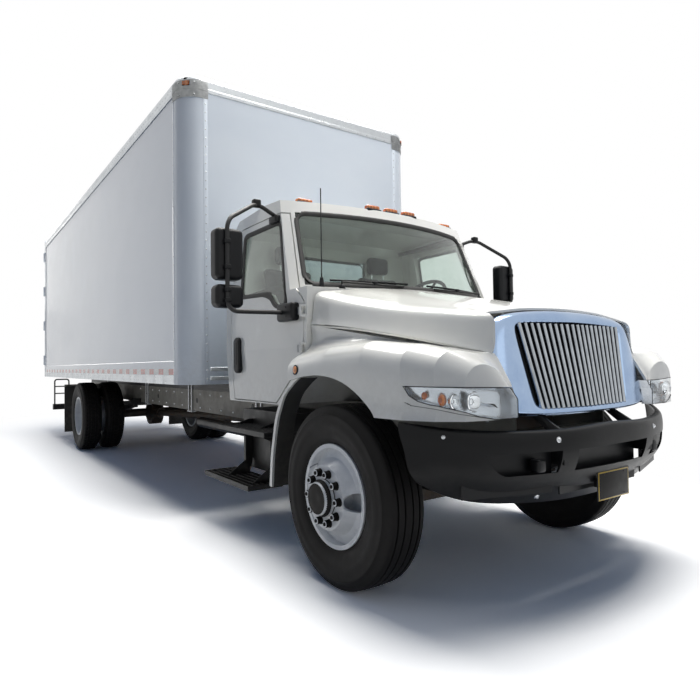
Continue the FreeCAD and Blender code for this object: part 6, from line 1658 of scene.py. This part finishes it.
def makeSeams():
    for sign, side in sides:
        bm = bmesh.new()
        line = softLine([seamSpot(step, sign) for step in range(5)], 0.12, segments=8, cut=0.03)
        addTube(bm, line, hoodSizes["bead"])
        newPiece("seamBead_" + side, bm, "glossWhiteCabPaint", "hood", 40)


makeSeams()
print("hood seams made")


# Seats: a foam cushion, a back and a headrest in woven cloth on a plastic pedestal
seatSizes = {"x": 0.5, "wide": 0.5, "front": 1.010, "top": 1.500, "base": 1.345, "back": 1.440,
             "backTop": 2.130, "lean": 0.060, "backThick": 0.130, "restTop": 2.320,
             "restWide": 0.260, "restThick": 0.110, "voxel": 0.006, "cap": 0.022, "shrink": 0.018}
clothSettings = {"quality": 4, "mass": 0.4, "tension_stiffness": 12, "compression_stiffness": 12,
                 "bending_stiffness": 0.6, "use_pressure": True, "uniform_pressure_force": 4}


def padShape(bm, low, high, bevel, shear):
    # a rounded block, leaned back by the shear
    addBox(bm, low, high, bevel, 4)
    for v in bm.verts:
        v.co.y += shear * (v.co.z - low[2])


def puffed(piece, cap):
    # the foam pushes the cloth out, held in by the cap
    remesh = piece.modifiers.new("remesh", "REMESH")
    remesh.mode = "VOXEL"
    remesh.voxel_size = seatSizes["voxel"]
    graph = bpy.context.evaluated_depsgraph_get()
    base = bpy.data.meshes.new_from_object(piece.evaluated_get(graph))
    piece.modifiers.clear()
    old = piece.data
    base.materials.clear()
    base.materials.append(old.materials[0])
    piece.data = base
    rest = [v.co.copy() for v in base.vertices]
    cloth = piece.modifiers.new("cloth", "CLOTH")
    for name, value in clothSettings.items():
        setattr(cloth.settings, name, value)
    cloth.settings.effector_weights.gravity = 0
    cloth.collision_settings.use_collision = False
    for step in range(1, 21):
        scene.frame_set(step)
    graph = bpy.context.evaluated_depsgraph_get()
    grown = bpy.data.meshes.new_from_object(piece.evaluated_get(graph))
    piece.modifiers.clear()
    for v, start in zip(grown.vertices, rest):
        away = v.co - start
        if away.length > cap:
            v.co = start + away.normalized() * cap
    grown.polygons.foreach_set("use_smooth", [True] * len(grown.polygons))
    piece.data = grown
    scene.frame_set(1)


def makeSeats():
    half = seatSizes["wide"] / 2
    shrink = seatSizes["shrink"]
    x = seatSizes["x"]
    lean = seatSizes["lean"] / (seatSizes["backTop"] - seatSizes["top"])
    blocks = {
        "Cushion": ((x - half + shrink, seatSizes["front"] + shrink, seatSizes["base"] + 0.020),
                    (x + half - shrink, seatSizes["back"] + 0.005, seatSizes["top"] - shrink),
                    0.045, 0.0, 0.75),
        "Back": ((x - half + shrink, seatSizes["back"] + shrink, seatSizes["top"] - 0.010),
                 (x + half - shrink, seatSizes["back"] + seatSizes["backThick"] - shrink,
                  seatSizes["backTop"] - 0.020), 0.04, lean, 0.7),
        "Rest": ((x - seatSizes["restWide"] / 2 + 0.010,
                  seatSizes["back"] + seatSizes["lean"] + 0.012, seatSizes["backTop"] + 0.014),
                 (x + seatSizes["restWide"] / 2 - 0.010,
                  seatSizes["back"] + seatSizes["lean"] + seatSizes["restThick"] - 0.012,
                  seatSizes["restTop"] - 0.014), 0.04, 0.0, 0.7)}
    made = []
    for name, (low, high, bevel, shear, fill) in blocks.items():
        bm = bmesh.new()
        padShape(bm, spot(*low), spot(*high), bevel, shear)
        piece = newPiece("seat%s_left" % name, bm, "wovenSeatCloth", "truck", 0)
        puffed(piece, 0.012 if name == "Rest" else seatSizes["cap"])
        other = bmesh.new()
        other.from_mesh(piece.data)
        bmesh.ops.scale(other, vec=(-1, 1, 1), verts=other.verts)
        bmesh.ops.reverse_faces(other, faces=other.faces)
        copy = newPiece("seat%s_right" % name, other, "wovenSeatCloth", "truck", 180)
        for pad in (piece, copy):
            smoothed(pad, 1)
            made.append(pad)
    # pedestals, recliner covers and headrest stalks
    trim, rods = bmesh.new(), bmesh.new()
    for sign in (1, -1):
        near, far = sign * (x - half + 0.03), sign * (x + half - 0.03)
        addBox(trim, spot(near, 1.07, 1.0595), spot(far, 1.44, 1.30), 0.02, 3)
        addBox(trim, spot(near - sign * 0.02, 1.03, 1.29), spot(far + sign * 0.02, 1.53, 1.352),
               0.018, 3)
        for edge in (near, far):
            addBox(trim, spot(edge - 0.022, 1.40, 1.32), spot(edge + 0.022, 1.56, 1.47), 0.02, 3)
        for offset in (-0.07, 0.07):
            place = spot(sign * x + offset, 1.555, 2.10)
            turnedAbout(rods, [(0.0, 0.0), (0.0, 0.006), (0.06, 0.006), (0.06, 0.0)], place,
                        upAxis, 12)
    made.append(newPiece("seatPedestals", trim, "grainedDarkGreyPlastic", "truck", 30))
    made.append(newPiece("headrestStalks", rods, "brightChrome", "truck", 40))
    for piece in made:
        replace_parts(piece, "seats")


# Dashboard: an instrument hood, a top edge and a switch panel, with vents and knobs
dashSizes = {"blocks": (((0.27, 0.60, 1.70), (0.73, 0.79, 1.775), 0.022, 4),
                        ((-0.86, 0.52, 1.715), (0.86, 0.775, 1.735), 0.009, 3),
                        ((-0.16, 0.765, 1.42), (0.16, 0.812, 1.66), 0.012, 3)),
             "vents": (-0.80, -0.30, -0.02, 0.84), "blades": 5, "bladePitch": 0.013,
             "bladeUp": 1.615, "bladeTall": 0.005, "knobs": (-0.09, 0.0, 0.09),
             "knob": ((0.0, 0.0), (0.0, 0.024), (0.010, 0.022), (0.012, 0.018), (0.012, 0.0))}


def makeDashboard():
    trim, dark = bmesh.new(), bmesh.new()
    for low, high, bevel, segments in dashSizes["blocks"]:
        addBox(trim, spot(*low), spot(*high), bevel, segments)
    newPiece("dashboardTop", trim, "grainedDarkGreyPlastic", "truck", 30)
    for x in dashSizes["vents"]:
        for row in range(dashSizes["blades"]):
            up = dashSizes["bladeUp"] + row * dashSizes["bladePitch"]
            addBox(dark, spot(x - 0.055, 0.799, up),
                   spot(x + 0.035, 0.806, up + dashSizes["bladeTall"]), 0.001, 1)
    for x in dashSizes["knobs"]:
        turnedAbout(dark, dashSizes["knob"], spot(x, 0.811, 1.50), alongAxis, 20)
    newPiece("dashboardFittings", dark, "satinBlackPlastic", "truck", 40)


makeSeats()
makeDashboard()
print("inside made")


# Chassis: holes in the rails shown as black discs, painted shade in place of openings; bolts in the
# rails and the U-bolts that tie the body's sills to them
railSizes = {"x": 0.4324, "first": -0.55, "pitch": 0.31, "count": 34, "ups": (0.79, 0.95),
             "bare": ((0.86, 1.80), (6.3, 7.7)), "bolt": (0.013, 0.010, 6), "holeUp": 0.87,
             "holes": (1.86, 1.98, 2.4, 3.9, 5.4, 8.6), "hole": ((0.0, 0.0), (0.0012, 0.026),
                                                                 (0.0012, 0.030), (0.0, 0.032)),
             "ties": (2.25, 4.1, 5.9, 8.3), "tieShift": 0.05, "tieHalf": 0.007}


def makeRailDetails():
    holes, bolts = bmesh.new(), bmesh.new()
    for sign, _ in sides:
        out = acrossAxis * sign
        face = sign * railSizes["x"]
        for y in [railSizes["first"] + step * railSizes["pitch"]
                  for step in range(railSizes["count"])]:
            if any(near < y < far for near, far in railSizes["bare"]):
                continue
            for up in railSizes["ups"]:
                addStud(bolts, spot(face, y, up), out, *railSizes["bolt"])
        for y in railSizes["holes"]:
            # each hole is a thin black disc standing on the rail's face, painted shade where no
            # opening is cut
            turnedAbout(holes, railSizes["hole"], spot(face, y, railSizes["holeUp"]), out, 20)
        for y in railSizes["ties"]:
            for along in (y - railSizes["tieShift"], y + railSizes["tieShift"]):
                addBox(bolts, spot(sign * 0.436, along - railSizes["tieHalf"], 0.735),
                       spot(sign * 0.450, along + railSizes["tieHalf"], 1.10), 0.003, 1)
            addBox(bolts, spot(sign * 0.40, y - 0.07, 0.722), spot(sign * 0.456, y + 0.07, 0.738),
                   0.003, 1)
    newPiece("railHoleShadeDiscs", holes, "satinBlackPlastic", "truck", 40)
    newPiece("railBolts", bolts, "zincPlatedSteel", "truck", 35)


# Air and electric lines, clipped along the inside of each rail with a little sag
lineSizes = {"x": 0.415, "runs": ((0.0, 0.90), (0.016, 0.885), (0.004, 0.868)), "lift": 0.012,
             "clips": (0.9, 2.0, 3.1, 4.2, 5.2, 6.2), "bend": 0.2, "radius": 0.0065}


def makeLines():
    lines = bmesh.new()
    for sign, _ in sides:
        for shift, up in lineSizes["runs"]:
            marks = [spot(sign * (lineSizes["x"] - shift), y, up + lineSizes["lift"] * (at % 2))
                     for at, y in enumerate(lineSizes["clips"])]
            addTube(lines, softLine(marks, lineSizes["bend"], segments=4), lineSizes["radius"], 8)
    newPiece("airLines", lines, "blackSheetRubber", "truck", 40)


# Tank: two bands round it and a filler cap on its outer shoulder
tankSizes = {"bands": (1.10, 1.56), "bandWide": 0.045, "bandThick": 0.003, "bend": 0.094,
             "rim": ((0.452, 0.93), (0.86, 0.926), (0.852, 0.436), (0.452, 0.436)),
             "middle": (0.652, 0.68), "cap": (0.80, 1.0, 0.888), "capWay": (0.55, 0, 0.83),
             "capRows": ((-0.01, 0.0), (-0.01, 0.05), (0.012, 0.05), (0.014, 0.046),
                         (0.034, 0.046), (0.038, 0.042), (0.038, 0.0))}


def makeTankDetails():
    straps, cap = bmesh.new(), bmesh.new()
    for y in tankSizes["bands"]:
        line = softLine([spot(x, y, z) for x, z in tankSizes["rim"]], tankSizes["bend"],
                        closed=True, segments=8)
        x, z = tankSizes["middle"]
        inner = [place + (spot(x, y, z) - place).normalized() * tankSizes["bandThick"]
                 for place in line]
        far, farInner = [[place + alongAxis * tankSizes["bandWide"] for place in ring]
                         for ring in (line, inner)]
        bridgedRings(straps, [line, far, farInner, inner], joined=True)
    newPiece("tankStraps", straps, "zincPlatedSteel", "truck", 40)
    turnedAbout(cap, tankSizes["capRows"], spot(*tankSizes["cap"]),
                Vector(tankSizes["capWay"]).normalized(), 28)
    newPiece("tankCap", cap, "satinBlackPlastic", "truck", 40)


# Tail: loop steps on the guard's ends and the flaps' bolts
tailSizes = {"y": 9.83, "inner": 0.86, "outer": 1.12, "low": 0.57, "top": 1.06, "bend": 0.045,
             "tube": 0.014, "rungs": (0.78, 0.92), "rung": 0.012, "flapBolts": 6,
             "firstBolt": 0.66, "boltPitch": 0.103, "boltUp": 0.984}


def makeRearDetails():
    loops, bolts = bmesh.new(), bmesh.new()
    y, inner, outer, low, top = [tailSizes[key] for key in ("y", "inner", "outer", "low", "top")]
    for sign, _ in sides:
        line = softLine([spot(sign * x, y, z) for x, z in ((inner, low), (inner, top),
                        (outer, top), (outer, low))], tailSizes["bend"], segments=6)
        addTube(loops, line, tailSizes["tube"], 12)
        for up in tailSizes["rungs"]:
            addTube(loops, [spot(sign * inner, y, up), spot(sign * outer, y, up)],
                    tailSizes["rung"], 10)
        for step in range(tailSizes["flapBolts"]):
            x = sign * (tailSizes["firstBolt"] + step * tailSizes["boltPitch"])
            addStud(bolts, spot(x, 8.0905, tailSizes["boltUp"]), alongAxis, 0.009, 0.006, 6)
            addStud(bolts, spot(x, 8.0895, tailSizes["boltUp"]), -alongAxis, 0.016, 0.003, 12)
    newPiece("loopSteps", loops, "satinBlackSteel", "truck", 40)
    newPiece("flapBolts", bolts, "zincPlatedSteel", "truck", 40)


makeRailDetails()
makeLines()
makeTankDetails()
makeRearDetails()
print("chassis dressed")
